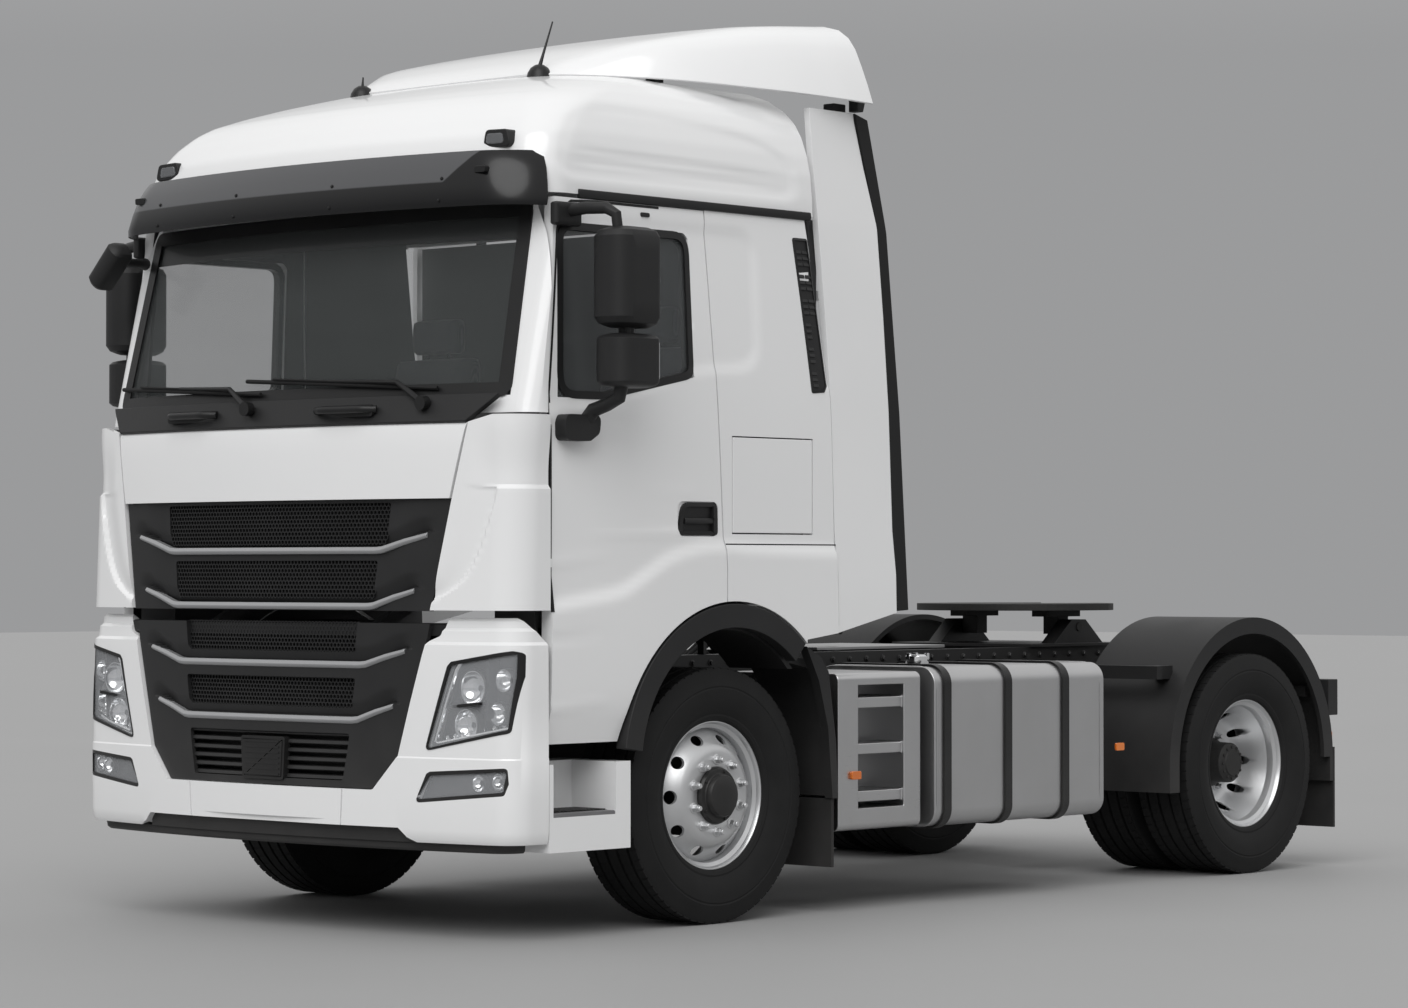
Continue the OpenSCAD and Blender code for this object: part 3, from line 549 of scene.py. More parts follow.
def set_down(name, shape):
    """A mesh object from a Shape, moved into the frame, faces outward."""
    mesh = bpy.data.meshes.new(name)
    mesh.from_pydata([(x, y + AXLE, z) for x, y, z in shape.verts], [], shape.faces)
    bm = bmesh.new()
    bm.from_mesh(mesh)
    bmesh.ops.remove_doubles(bm, verts=bm.verts, dist=1e-6)
    bmesh.ops.recalc_face_normals(bm, faces=bm.faces)
    bm.to_mesh(mesh)
    bm.free()
    return linked(name, mesh)


def shade(mesh, angle=32.0):
    mesh.polygons.foreach_set("use_smooth", [True] * len(mesh.polygons))
    mesh.set_sharp_from_angle(angle=math.radians(angle))


def bevel(obj, width, segments=2, angle=32.0):
    made = obj.modifiers.new("edges", "BEVEL")
    made.width = width
    made.segments = segments
    made.limit_method = "ANGLE"
    made.angle_limit = math.radians(angle)
    made.harden_normals = True


def fit(obj, body, finish, replaces=(), edge=0.0, angle=32.0, slot=None):
    """Finish, edges, body and the CAD nodes it stands for; the slot is looked up but not kept."""
    obj.data.materials.clear()
    obj.data.materials.append(finish)
    shade(obj.data, angle)
    if edge:
        bevel(obj, edge, angle=angle)
    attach(obj, body)
    slot or SLOT_OF[finish.name]
    if replaces:
        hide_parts(*replaces)
    return obj


def piece(name, shape, body, finish, replaces=(), edge=0.0, angle=32.0, slot=None):
    return fit(set_down(name, shape), body, finish, replaces, edge, angle, slot)


BODIES = frame["record"]["behaviour"]["bodies"]
NODE_BODY = {node: body for body, members in BODIES.items() for node in members}


def copied(node, name):
    """A copy of a CAD node's mesh, its loose triangles merged into clean faces."""
    bm = bmesh.new()
    bm.from_mesh(NODES[node].data)
    bmesh.ops.remove_doubles(bm, verts=bm.verts, dist=2e-5)
    bmesh.ops.dissolve_limit(bm, angle_limit=math.radians(0.6), verts=bm.verts, edges=bm.edges)
    bm.verts.index_update()
    mesh = bpy.data.meshes.new(name)
    mesh.from_pydata([tuple(v.co) for v in bm.verts], [], [[v.index for v in f.verts] for f in bm.faces])
    bm.free()
    return linked(name, mesh)


def gridded(obj, steps):
    """Cuts a mesh by planes across each axis named in steps, so that it can be shaped."""
    bm = bmesh.new()
    bm.from_mesh(obj.data)
    co = np.array([v.co for v in bm.verts])
    for axis, step in steps.items():
        low, high = co[:, axis].min(), co[:, axis].max()
        normal = Vector((0, 0, 0))
        normal[axis] = 1.0
        for k in range(1, int((high - low) / step) + 1):
            at = Vector((0, 0, 0))
            at[axis] = low + k * step
            geometry = bm.verts[:] + bm.edges[:] + bm.faces[:]
            bmesh.ops.bisect_plane(bm, geom=geometry, dist=1e-5, plane_co=at, plane_no=normal)
    bm.to_mesh(obj.data)
    bm.free()
    return obj


def moved(obj, rule):
    """Moves each vertex to rule(x, y, z), with Y from the front axle."""
    for vertex in obj.data.vertices:
        x, y, z = vertex.co
        x, y, z = rule(x, y - AXLE, z)
        vertex.co = (x, y + AXLE, z)
    obj.data.update()
    return obj


def carved(obj, *shapes, operation="DIFFERENCE"):
    """Cuts closed shapes out of an object, or keeps what is inside them."""
    for k, shape in enumerate(shapes):
        cutter = set_down(f"{obj.name}_cutter{k}", shape) if isinstance(shape, Shape) else shape
        made = obj.modifiers.new("cut", "BOOLEAN")
        made.operation = operation
        made.solver = "EXACT"
        made.object = cutter
        bake(obj)
        bpy.data.objects.remove(cutter)
    return obj


def bake(obj):
    """Applies the modifiers: the evaluated mesh becomes the object's own."""
    bpy.context.view_layer.update()
    graph = bpy.context.evaluated_depsgraph_get()
    mesh = bpy.data.meshes.new_from_object(obj.evaluated_get(graph), depsgraph=graph)
    obj.modifiers.clear()
    obj.data = mesh
    return obj


def worked(node, finish, edge, slot=None):
    """A CAD node's own shape with rounded edges and a real finish."""
    fit(copied(node, node + "_made"), NODE_BODY[node], finish, (node,), edge, 25.0, slot)


# ---------- plan lines of the nose ----------
def nose_line(front, arc, half, corner, rear, count=48, turn=10):
    """Plan of the nose from the left rear to the right rear: side, corner, wide arc, corner."""
    cx = half - corner
    cy = front + arc - math.sqrt((arc - corner) ** 2 - cx * cx)
    start = math.asin(cx / (arc - corner))
    last = math.pi / 2 if rear >= cy else math.acos((cy - rear) / corner)
    points = [(half, rear)] if rear >= cy else []
    turn += len(points) == 0
    for k in range(turn + 1):
        t = (last - start) * (1 - k / turn)
        points.append((cx + corner * math.sin(start + t), cy - corner * math.cos(start + t)))
    for k in range(1, count):
        t = start * (1 - 2 * k / count)
        points.append((arc * math.sin(t), front + arc - arc * math.cos(t)))
    own = len(points) - (count - 1)
    return points + [(-x, y) for x, y in points[:own]][::-1]


def nose_wall(levels, thick, **counts):
    """A wall whose plan changes with height: (z, front, arc, half, corner, rear) from the bottom up."""
    grid = [[(x, y, level[0]) for x, y in nose_line(*level[1:], **counts)] for level in levels]
    return Shape().skin(grid, thick)


SIDE_LINE = [(0.735, 1.212), (0.95, 1.240), (1.38, 1.245), (1.56, 1.231), (2.05, 1.228), (2.45, 1.212),
             (2.835, 1.190)]


def side_x(z):
    """Outer face of the CAD cab's side at a height."""
    for (z0, x0), (z1, x1) in zip(SIDE_LINE, SIDE_LINE[1:]):
        if z <= z1:
            return x0 + (x1 - x0) * (z - z0) / (z1 - z0)
    return SIDE_LINE[-1][1]


def field(y, z, low_y, high_y, low_z, high_z, corner):
    """Distance inside a rounded rectangle, positive within."""
    cy, cz = (low_y + high_y) / 2, (low_z + high_z) / 2
    dy = abs(y - cy) - (high_y - low_y) / 2 + corner
    dz = abs(z - cz) - (high_z - low_z) / 2 + corner
    return corner - math.hypot(max(dy, 0), max(dz, 0)) - min(max(dy, dz), 0)


def crease(y, z, start, end, height, width):
    """A soft pressed line that fades out towards its end."""
    (y0, z0), (y1, z1) = start, end
    t = ((y - y0) * (y1 - y0) + (z - z0) * (z1 - z0)) / ((y1 - y0) ** 2 + (z1 - z0) ** 2)
    if not -0.05 < t < 1:
        return 0.0
    off = z - (z0 + (z1 - z0) * t)
    return height * (1 - t) ** 0.5 * math.exp(-(off / width) ** 2)


ARCH_SHOULDER = [(-1.05, 1.285), (-0.80, 1.315), (-0.62, 1.345), (-0.50, 1.400), (-0.36, 1.468),
                 (-0.20, 1.508), (-0.03, 1.520), (0.10, 1.512), (0.66, 1.500)]


def pressed_x(y, z):
    """Outer face of the pressed side panels at a point of the side view."""
    lower = through([(0.735, 1.206), (0.80, 1.220), (0.86, 1.232), (0.95, 1.240), (1.2, 1.2465),
                     (1.5, 1.2475)], z)
    upper = through([(1.1, 1.2265), (1.56, 1.2305), (2.05, 1.2285), (2.45, 1.212), (2.835, 1.190)], z)
    line = through(ARCH_SHOULDER, y)
    x = lower + (upper - lower) * smooth(z, line - 0.055, line + 0.008)
    # the field round the window and over the bunk is pressed in
    foot = 2.0 + 0.17 * smooth(y, -0.85, -0.02) + 0.02 * smooth(y, -0.02, 0.2)
    x -= 0.008 * smooth(field(y, z, -1.3, 0.205, foot, 2.765, 0.11), 0.0, 0.045)
    x -= 0.007 * smooth(field(y, z, 0.518, 0.75, 2.13, 2.745, 0.07), 0.0, 0.03)
    for start, end, height in (((-1.03, 1.425), (-0.70, 1.445), 0.005),
                               ((-0.28, 1.545), (-0.82, 1.53), 0.005),
                               ((-1.03, 1.975), (-0.50, 2.01), 0.005),
                               ((-1.03, 1.135), (-0.74, 1.155), -0.005),
                               ((-1.03, 0.875), (-0.68, 0.897), 0.006),
                               ((-0.2, 1.70), (-0.5, 1.70), 0.003)):
        x += crease(y, z, start, end, height, 0.013)
    return x


def press(x, y, z):
    """Shapes a side panel: its outer layer follows pressed_x, its inside stays."""
    side = 1 if x > 0 else -1
    depth = side_x(z) - abs(x)
    share = 1 - smooth(depth, 0.008, 0.03)
    return side * (abs(x) + (pressed_x(y, z) - side_x(z)) * share), y, z


def lined(obj, inward):
    """Gives the faces that look into the cab the trim's grey."""
    obj.data.materials.append(TRIM)
    for face in obj.data.polygons:
        if inward(face.center, face.normal):
            face.material_index = 1


def faces_centre(centre, normal):
    return normal.x * centre.x < 0 and abs(normal.x) > 0.6


def make_side_panels():
    grid = {1: 0.022, 2: 0.022}
    for side in HANDS:
        door = moved(gridded(copied(f"{side}_door", f"{side}_door_panel"), grid), press)
        fit(door, f"{side}_door", WHITE, (f"{side}_door",), 0.003, 30.0)
        lined(door, faces_centre)
        lid = moved(gridded(copied(f"{side}_locker_lid", f"{side}_locker_panel"), grid), press)
        fit(lid, f"{side}_locker", WHITE, (f"{side}_locker_lid",), 0.003, 30.0)
    walls = moved(gridded(copied("cab_sides", "cab_side_panels"), grid), press)
    fit(walls, "cab", WHITE, ("cab_sides",), 0.003, 30.0)
    lined(walls, faces_centre)


def side_shape(outline, x_offset, depth, side):
    """A closed plate that lies along the pressed side: an outline in (y, z), its face x_offset proud."""
    rings = [[(side * (pressed_x(y, z) + x_offset - d), y, z) for y, z in outline] for d in (0.0, depth)]
    return Shape().loft(rings)


def side_strip(path, width, proud, depth, side):
    """A narrow strip along a path in the side view."""
    rings = []
    for i, (y, z) in enumerate(path):
        (ya, za), (yb, zb) = path[max(i - 1, 0)], path[min(i + 1, len(path) - 1)]
        run = math.hypot(yb - ya, zb - za)
        ny, nz = -(zb - za) / run * width / 2, (yb - ya) / run * width / 2
        a, b = (y + ny, z + nz), (y - ny, z - nz)
        rings.append([(side * (pressed_x(*p) + lift), *p) for p, lift in
                      ((a, proud), (b, proud), (b, proud - depth), (a, proud - depth))])
    return Shape().loft(rings)


WINDOW = [(-0.934, 2.719), (-0.966, 2.046), (-0.70, 2.048), (-0.193, 2.150), (-0.196, 2.722)]
WINDOW_ROUND = [0.09, 0.10, 0.2, 0.07, 0.09]


def ring_on_side(outline, width, proud, depth, side):
    """A rubber frame between an outline and its inset, on the pressed side."""
    inner = inset(outline, width)
    rings = []
    for (y, z), (v, w) in zip(outline, inner):
        a, b = pressed_x(y, z), pressed_x(v, w)
        rings.append([(side * (a + proud * 0.3), y, z), (side * (b + proud), v, w),
                      (side * (b - depth), v, w), (side * (a - depth), y, z)])
    return Shape().loft(rings, loop=True)


def make_windows():
    outline = rounded(WINDOW, WINDOW_ROUND, 7)
    for side, s in HANDS.items():
        body = f"{side}_door"
        piece(f"{side}_window_rubber", ring_on_side(outline, 0.03, 0.004, 0.035, s), body, SATIN)
        pane = copied(f"{side}_door_glass", f"{side}_window_pane")
        fit(pane, body, TINTED, (f"{side}_door_glass",))
        # door edge rubber in front, and the black cap at the window's upper front corner
        front = [(-1.009, 1.24), (-1.0095, 2.06), (-0.986, 2.25), (-0.962, 2.45), (-0.936, 2.68),
                 (-0.915, 2.765), (-0.86, 2.80), (-0.72, 2.806), (-0.3, 2.806)]
        dense = []
        for a, b in zip(front, front[1:]):
            dense += [tuple(Vector(a).lerp(Vector(b), k / 6)) for k in range(6)]
        piece(f"{side}_door_rubber", side_strip(dense, 0.010, 0.0015, 0.01, s), body, SATIN)
        button = rounded([(-0.475, 2.765), (-0.475, 2.782), (-0.425, 2.782), (-0.425, 2.765)], 0.008)
        piece(f"{side}_top_button", side_shape(button, 0.006, 0.012, s), body, PLASTIC, edge=0.003)


def make_handles():
    """Black bowl, grip bar and lock of each door handle."""
    bowl = rounded([(-0.300, 1.534), (-0.276, 1.662), (-0.072, 1.662), (-0.066, 1.534)],
                   [0.02, 0.05, 0.025, 0.02], 6)
    for side, s in HANDS.items():
        shape = ring_on_side(bowl, 0.016, 0.004, 0.02, s)
        floor = inset(bowl, 0.014)
        shape.loft([[(s * (1.2215 + d), y, z) for y, z in floor] for d in (0.0, 0.004)])
        piece(f"{side}_handle_bowl", shape, f"{side}_door", SATIN, edge=0.002)
        grip = Shape()
        rings = []
        for k in range(13):
            y = -0.262 + 0.168 * k / 12
            reach = 1.2385 - 0.006 * abs(k / 6 - 1) ** 2
            rings.append([(s * (reach + dx), y, 1.590 + dz) for dx, dz in
                          ((0, 0.011), (0.004, 0.004), (0.004, -0.007), (0, -0.012), (-0.008, -0.010),
                           (-0.008, 0.010))])
        grip.loft(rings)
        grip.prism(rounded([(-0.10, 1.545), (-0.10, 1.65), (-0.084, 1.65), (-0.084, 1.545)], 0.005), "x",
                   s * 1.225, s * 1.240)
        grip.disc((s * 1.240, -0.096, 1.605), 0.008, 0.004 * s, "x", 20, 0.001)
        piece(f"{side}_handle_grip", grip, f"{side}_door", PLASTIC, edge=0.0015)


def make_side_trim():
    strips, seams, vents, slats = Shape(), Shape(), Shape(), Shape()
    tray = rounded([(0.420, 2.740), (0.512, 2.740), (0.606, 2.146), (0.586, 2.118), (0.508, 2.112)], 0.012,
                   3)
    for s in SIDES:
        section = ((-0.006, -0.020), (0.010, -0.018), (0.0135, -0.004), (0.010, 0.014), (-0.006, 0.016))
        strips.loft([[(s * (1.1905 + dx), -0.819 + 1.354 * k / 40, 2.8335 + dz) for dx, dz in section]
                     for k in range(41)])
        seams.take(side_strip([(-0.028 + 0.68 * k / 20, 1.500) for k in range(21)], 0.005, 0.0006, 0.004,
                              s))
        vents.take(ring_on_side(tray, 0.010, 0.006, 0.02, s),
                   side_shape(inset(tray, 0.006), 0.0012, 0.006, s))
        for k in range(24):
            if k % 4 == 0:
                continue
            z = 2.715 - 0.0245 * k
            y0 = 0.418 + (2.742 - z) * 0.148 + 0.012
            for y1, y2 in ((y0, y0 + 0.033), (y0 + 0.038, y0 + 0.072)):
                face = pressed_x((y1 + y2) / 2, z)
                slats.loft([[(s * (face + 0.001), y, z), (s * (face + 0.0055), y, z - 0.013),
                             (s * (face + 0.0035), y, z - 0.016),
                             (s * (face - 0.001), y, z - 0.004)] for y in (y1, y2)])
    piece("roof_side_strips", strips, "cab", PLASTIC, edge=0.003)
    piece("side_seams", seams, "cab", DEEP)
    piece("side_vents", vents, "cab", PLASTIC, edge=0.002)
    piece("side_vent_slats", slats, "cab", SATIN, edge=0.002)


# ---------- roof, deflector, visor ----------
ROOF_SIDE = [(0.0, 2.829), (0.002, 2.90), (0.012, 3.00), (0.030, 3.08), (0.058, 3.155), (0.095, 3.215),
             (0.15, 3.268), (0.24, 3.322), (0.36, 3.362), (0.6, 3.398), (0.9, 3.413), (1.19, 3.419)]
ROOF_FRONT = [(0.0, 2.829), (0.012, 2.93), (0.036, 3.00), (0.062, 3.06), (0.13, 3.138), (0.205, 3.200),
              (0.27, 3.236), (0.40, 3.281), (0.54, 3.322), (0.72, 3.370), (0.96, 3.412), (1.19, 3.419)]
ROOF_FRONT_Y = -1.165
ROOF_HALF = 1.191
ROOF_REAR = 0.555


def inward_at(profile, z):
    """How far inside its lower edge a roof profile is at a height."""
    for (d0, z0), (d1, z1) in zip(profile, profile[1:]):
        if z <= z1:
            return d0 + (d1 - d0) * (z - z0) / (z1 - z0)
    return profile[-1][0]


def roof_line(front, half, corner):
    """Plan of the roof at one level: side from the rear, corner, front arc, corner, side."""
    line = nose_line(front, 4.5, half, min(corner, half * 0.7), ROOF_REAR, 60, 14)
    start = line[1][1]
    side = [(half, ROOF_REAR + (start - ROOF_REAR) * k / 44) for k in range(44)]
    return side + line[1:-1] + [(-x, y) for x, y in side[::-1]]


def make_roof():
    grid = []
    heights = [2.829 + 0.0165 * k for k in range(24)]
    heights += [3.222, 3.236, 3.25, 3.264, 3.278, 3.292, 3.306, 3.32, 3.335, 3.35, 3.364, 3.378, 3.39, 3.40,
                3.407, 3.412, 3.415, 3.417, 3.4182]
    for z in heights:
        front, side = inward_at(ROOF_FRONT, z), inward_at(ROOF_SIDE, z)
        row = []
        for x, y in roof_line(ROOF_FRONT_Y + front, ROOF_HALF - side, 0.17 + 0.5 * side):
            ridge = through([(-0.90, 3.08), (-0.80, 3.165), (-0.6, 3.20), (-0.2, 3.19), (0.2, 3.15),
                             (0.42, 3.08), (0.5, 3.0)], y)
            dent = smooth(field(y, z, -0.93, 0.47, 2.878, ridge, 0.09), 0.0, 0.035)
            level = z + 0.02 * y
            lines = 0.006 * math.exp(-((level - 2.985) / 0.011) ** 2)
            lines += 0.005 * math.exp(-((level - 2.945) / 0.010) ** 2)
            lines *= smooth(y, -0.90, -0.70) * (1 - smooth(y, 0.1, 0.45))
            half = ROOF_HALF - side
            shift = (0.008 * dent + lines) * smooth(abs(x), half - 0.02, half - 0.002)
            row.append((x - math.copysign(shift, x), y, z))
        grid.append(row)
    shape = Shape().skin(grid, 0.014)
    roof = piece("roof_shell", shape, "cab", WHITE, ("high_roof",), angle=50)
    lined(roof, lambda centre, normal: normal.dot(centre - Vector((0, AXLE, 2.9))) < 0)
    ridge = Shape()
    rings = []
    for y, lift in ((-0.02, -0.006), (0.1, 0.0), (ROOF_REAR, 0.0)):
        rings.append([(-0.14, y, 3.412), (0.14, y, 3.412), (0.14, y, 3.4165 + lift),
                      (0.0, y, 3.4195 + lift), (-0.14, y, 3.4165 + lift)])
    ridge.loft(rings)
    piece("roof_ridge", ridge, "cab", WHITE, angle=50)
    wall = Shape()
    section = []
    for u in spaced(1, -1, 40):
        inward = 1.17 * (1 - abs(u)) + 0.02
        section.append((math.copysign(ROOF_HALF - inward, u), through(ROOF_SIDE, inward) - 0.018))
    wall.prism([(1.17, 2.832)] + section + [(-1.17, 2.832)], "y", 0.535, 0.552)
    piece("roof_rear_wall", wall, "cab", WHITE, edge=0.004)


DEFLECTOR_TOP = [(-0.35, 3.392), (-0.30, 3.425), (-0.2, 3.468), (0.0, 3.534), (0.25, 3.596), (0.5, 3.648),
                 (0.85, 3.686)]
DEFLECTOR_SECTION = [(1.0, 0.0), (0.984, 0.2), (0.963, 0.42), (0.941, 0.62), (0.915, 0.755),
                     (0.875, 0.855), (0.81, 0.915), (0.70, 0.95), (0.5, 0.978), (0.25, 0.995), (0.0, 1.0)]


def make_deflector():
    grid = []
    for k in range(41):
        t = k / 40
        y = -0.35 + 1.2 * t
        half = through([(-0.35, 0.56), (-0.2, 0.70), (0.1, 0.93), (0.45, 1.12), (0.7, 1.205),
                        (0.85, 1.234)], y)
        foot = through([(-0.35, 3.384), (0.0, 3.372), (0.4, 3.345), (0.85, 3.319)], y)
        top = through(DEFLECTOR_TOP, y)
        row = []
        for u, v in DEFLECTOR_SECTION + [(-u, v) for u, v in DEFLECTOR_SECTION[-2::-1]]:
            # the flank's swage starts at the nose and dies out towards the rear
            fade = smooth(y, -0.25, 0.1) * (1 - smooth(y, 0.3, 0.8))
            swage = 0.012 * math.exp(-((v - 0.80) / 0.14) ** 2) * fade
            row.append((u * half, y + 0.042 * (1 - v) * t ** 6, foot + v * (top - foot) + swage))
        grid.append(row)
    shape = Shape().skin(grid, 0.012)
    piece("deflector_shell", shape, "cab", WHITE, ("roof_deflector",), edge=0.003, angle=45)
    struts = Shape()
    for s in SIDES:
        struts.box((s * 1.04, 0.80, 3.225), (s * 1.10, 0.875, 3.325))
        struts.box((s * 0.5, 0.30, 3.38), (s * 0.55, 0.36, 3.57))
        struts.prism([(0.868, 3.29), (0.905, 3.29), (0.925, 3.355), (0.915, 3.405), (0.868, 3.405)], "x",
                     s * 1.12, s * 1.17)
    piece("deflector_struts", struts, "cab", PLASTIC, edge=0.004)


def make_visor():
    levels = []
    for z, y, half, corner, rear in ((2.774, -1.272, 1.212, 0.265, -0.992),
                                     (2.80, -1.274, 1.213, 0.27, -0.988),
                                     (2.86, -1.262, 1.204, 0.285, -0.978),
                                     (2.92, -1.246, 1.190, 0.30, -0.966),
                                     (2.965, -1.228, 1.173, 0.315, -0.956),
                                     (2.99, -1.214, 1.158, 0.325, -0.950)):
        levels.append((z, y, 4.5, half, corner, rear))
    shape = nose_wall(levels, 0.007, count=60, turn=16)
    piece("sun_visor_sheet", shape, "cab", SMOKED, ("sun_visor",), edge=0.0015, angle=40)
    screws = []
    for z, y in ((2.80, -1.2745), (2.885, -1.2565)):
        for x in (-0.82, -0.28, 0.28, 0.82):
            screws.append(((x, nose_at(x, y, 4.5), z), (0, 0, -math.pi / 2), 0.45))
    spread("visor_screws", screws, bolt_head(), "cab", SATIN)
    lamps, bases = Shape(), Shape()
    for s in SIDES:
        base = rounded([(0.885, 3.010), (0.900, 3.078), (1.015, 3.074), (1.035, 3.004)], 0.022, 5)
        bases.prism([(s * x, z) for x, z in base], "y", -1.028, -0.93)
        lamps.prism([(s * x, z) for x, z in rounded([(0.905, 3.022), (0.913, 3.062), (0.992, 3.060),
                                                     (1.002, 3.018)], 0.014, 5)],
                    "y", -1.034, -1.00)
    piece("roof_lamp_bases", bases, "cab", PLASTIC, edge=0.005)
    piece("roof_lamp_lenses", lamps, "cab", LENS, edge=0.004)
    stays = Shape()
    for x in (-0.85, -0.4, 0.0, 0.4, 0.85):
        drop = x * x / 9
        stays.box((x - 0.012, -1.235 + drop, 2.90), (x + 0.012, -1.12 + drop, 2.925))
    for s in SIDES:
        window = rounded([(0.96, 2.900), (0.962, 2.926), (1.02, 2.926), (1.018, 2.900)], 0.008)
        stays.prism([(s * x, z) for x, z in window], "y", -1.150, -1.125)
    piece("visor_stays", stays, "cab", SATIN, edge=0.003)


def make_antennas():
    shape = Shape()
    for s, length, lean in ((1, 0.19, 0.075), (-1, 0.045, 0.004)):
        x, y = s * 0.518, -0.342
        dome = [(0.0, 0.052), (0.018, 0.048), (0.036, 0.036), (0.048, 0.016), (0.054, -0.012)][::-1]
        shape.lathe(dome, (x, y, 3.375), "z", 32, loop=False)
        root = Vector((x, y, 3.415))
        tip = root + Vector((0, lean, length))
        shape.tube([root, root.lerp(tip, 0.25), root.lerp(tip, 0.6), tip], [0.009, 0.006, 0.0042, 0.0032],
                   12)
    piece("roof_antennas", shape, "cab", SATIN, edge=0.0)


# ---------- windscreen, cowl, wipers ----------
SCREEN_LEAN = math.tan(math.radians(13.2))


def screen_y(x, z, depth=0.0):
    """Outer face of the windscreen."""
    arc = 4.5
    return -1.262 + (z - 2.080) * SCREEN_LEAN + arc - math.sqrt(arc * arc - x * x) + depth


def make_windscreen():
    frame_copy = copied("windscreen_frame", "screen_surround")
    fit(frame_copy, "cab", WHITE, ("windscreen_frame",), 0.004, 30.0)
    lined(frame_copy, lambda centre, normal: normal.y > 0.6 or faces_centre(centre, normal))
    pane = copied("windscreen", "windscreen_pane")
    fit(pane, "cab", SCREEN, ("windscreen",), 0.0, 40.0)
    outline = rounded([(1.132, 2.050), (1.094, 2.796), (-1.094, 2.796), (-1.132, 2.050)], 0.05, 6)
    dense = []
    for a, b in zip(outline, outline[1:] + outline[:1]):
        count = max(1, int(math.dist(a, b) / 0.06))
        dense += [tuple(Vector(a).lerp(Vector(b), k / count)) for k in range(count)]
    rings = []
    for (x, z), (u, w) in zip(dense, inset(dense, 0.055)):
        rings.append([(x, screen_y(x, z, -0.004), z), (u, screen_y(u, w, -0.002), w),
                      (u, screen_y(u, w, 0.003), w), (x, screen_y(x, z, 0.006), z)])
    rubber = Shape().loft(rings, loop=True)
    band = []
    for z in (2.655, 2.70, 2.745, 2.79):
        band.append([(x, screen_y(x, z, 0.010), z) for x in spaced(1.085, -1.085, 30)])
    rubber.skin(band, 0.003)
    piece("screen_rubber", rubber, "cab", SATIN)


def make_cowl():
    grid = []
    for z in (1.958, 1.968, 1.99, 2.02, 2.05, 2.064):
        row = []
        for x in spaced(1.118, -1.118, 48):
            half_at = 1.005 + (z - 1.958) * 1.1
            u = x * min(1.0, half_at / 1.118)
            row.append((u, -1.333 + u * u / 11 + (z - 1.958) * 0.45, z))
        grid.append(row)
    shape = Shape().skin(grid, 0.025)
    piece("cowl_cover", shape, "cab", PLASTIC, ("cowl",), edge=0.004)
    grips = Shape()
    for x in (0.42, -0.48):
        path = []
        for k in range(17):
            u = k / 16
            a = x - 0.155 + 0.31 * u
            out = 0.034 * smooth(min(u, 1 - u), 0.0, 0.16)
            path.append((a, -1.318 + a * a / 11 - out, 2.012))
        grips.tube(path, 0.015, 14)
        cup = rounded([(x - 0.15, 1.985), (x - 0.15, 2.03), (x + 0.15, 2.03), (x + 0.15, 1.985)], 0.014)
        grips.prism(cup, "y", -1.322 + x * x / 11, -1.312 + x * x / 11)
    piece("cowl_grips", grips, "cab", SATIN)


def make_wipers():
    """Two wipers, parked with their blades towards the truck's right."""
    arms, blades = Shape(), Shape()
    for x in (0.80, -0.12):
        root = Vector((x, screen_y(x, 2.03, -0.055), 2.03))
        reach = Vector((x - 0.16, screen_y(x - 0.16, 2.115, -0.035), 2.115))
        tip = Vector((x - 0.52, screen_y(x - 0.52, 2.13, -0.028), 2.130))
        arms.lathe([(0.028, -0.02), (0.028, 0.012), (0.018, 0.022)], tuple(root), "y", 24, loop=False)
        arms.tube([root, root.lerp(reach, 0.5), reach], [0.017, 0.012, 0.009], 10)
        arms.tube([reach, reach.lerp(tip, 0.5), tip], [0.009, 0.0065, 0.005], 8)
        span = [Vector((x + 0.02 - 1.02 * k / 12, 0, 2.088 + 0.055 * k / 12)) for k in range(13)]
        path = [Vector((p.x, screen_y(p.x, p.z, -0.016), p.z)) for p in span]
        blades.tube(path, 0.0085, 8)
        blades.tube([p + Vector((0, -0.008, 0.012)) for p in path[2:-2]], 0.0045, 6)
    piece("wiper_arms", arms, "cab", SATIN)
    piece("wiper_blades", blades, "cab", FLAP)


# ---------- mirrors ----------
def housing(low, high, corner, crown):
    """A mirror housing: rounded in plan, domed forwards and drawn in at both ends."""
    (x0, y0, z0), (x1, y1, z1) = low, high
    rings = []
    for share in (0.0, 0.012, 0.04, 0.1, 0.25, 0.5, 0.75, 0.9, 0.96, 0.988, 1.0):
        pull = 0.5 - abs(share - 0.5)
        shrink = crown * (1 - min(1.0, pull / 0.09)) ** 2.2
        a0, a1, b0, b1 = x0 + shrink, x1 - shrink, y0 + shrink * 1.2, y1 - shrink * 0.3
        plan = [(a0, b0), (a1, b0), (a1, b1), (a0, b1)]
        dome = [corner * 1.4, corner * 1.4, corner * 0.35, corner * 0.35]
        ring = rounded(plan, dome, 7)
        rings.append([(x, y, z0 + (z1 - z0) * share) for x, y in ring])
    return Shape().loft(rings)


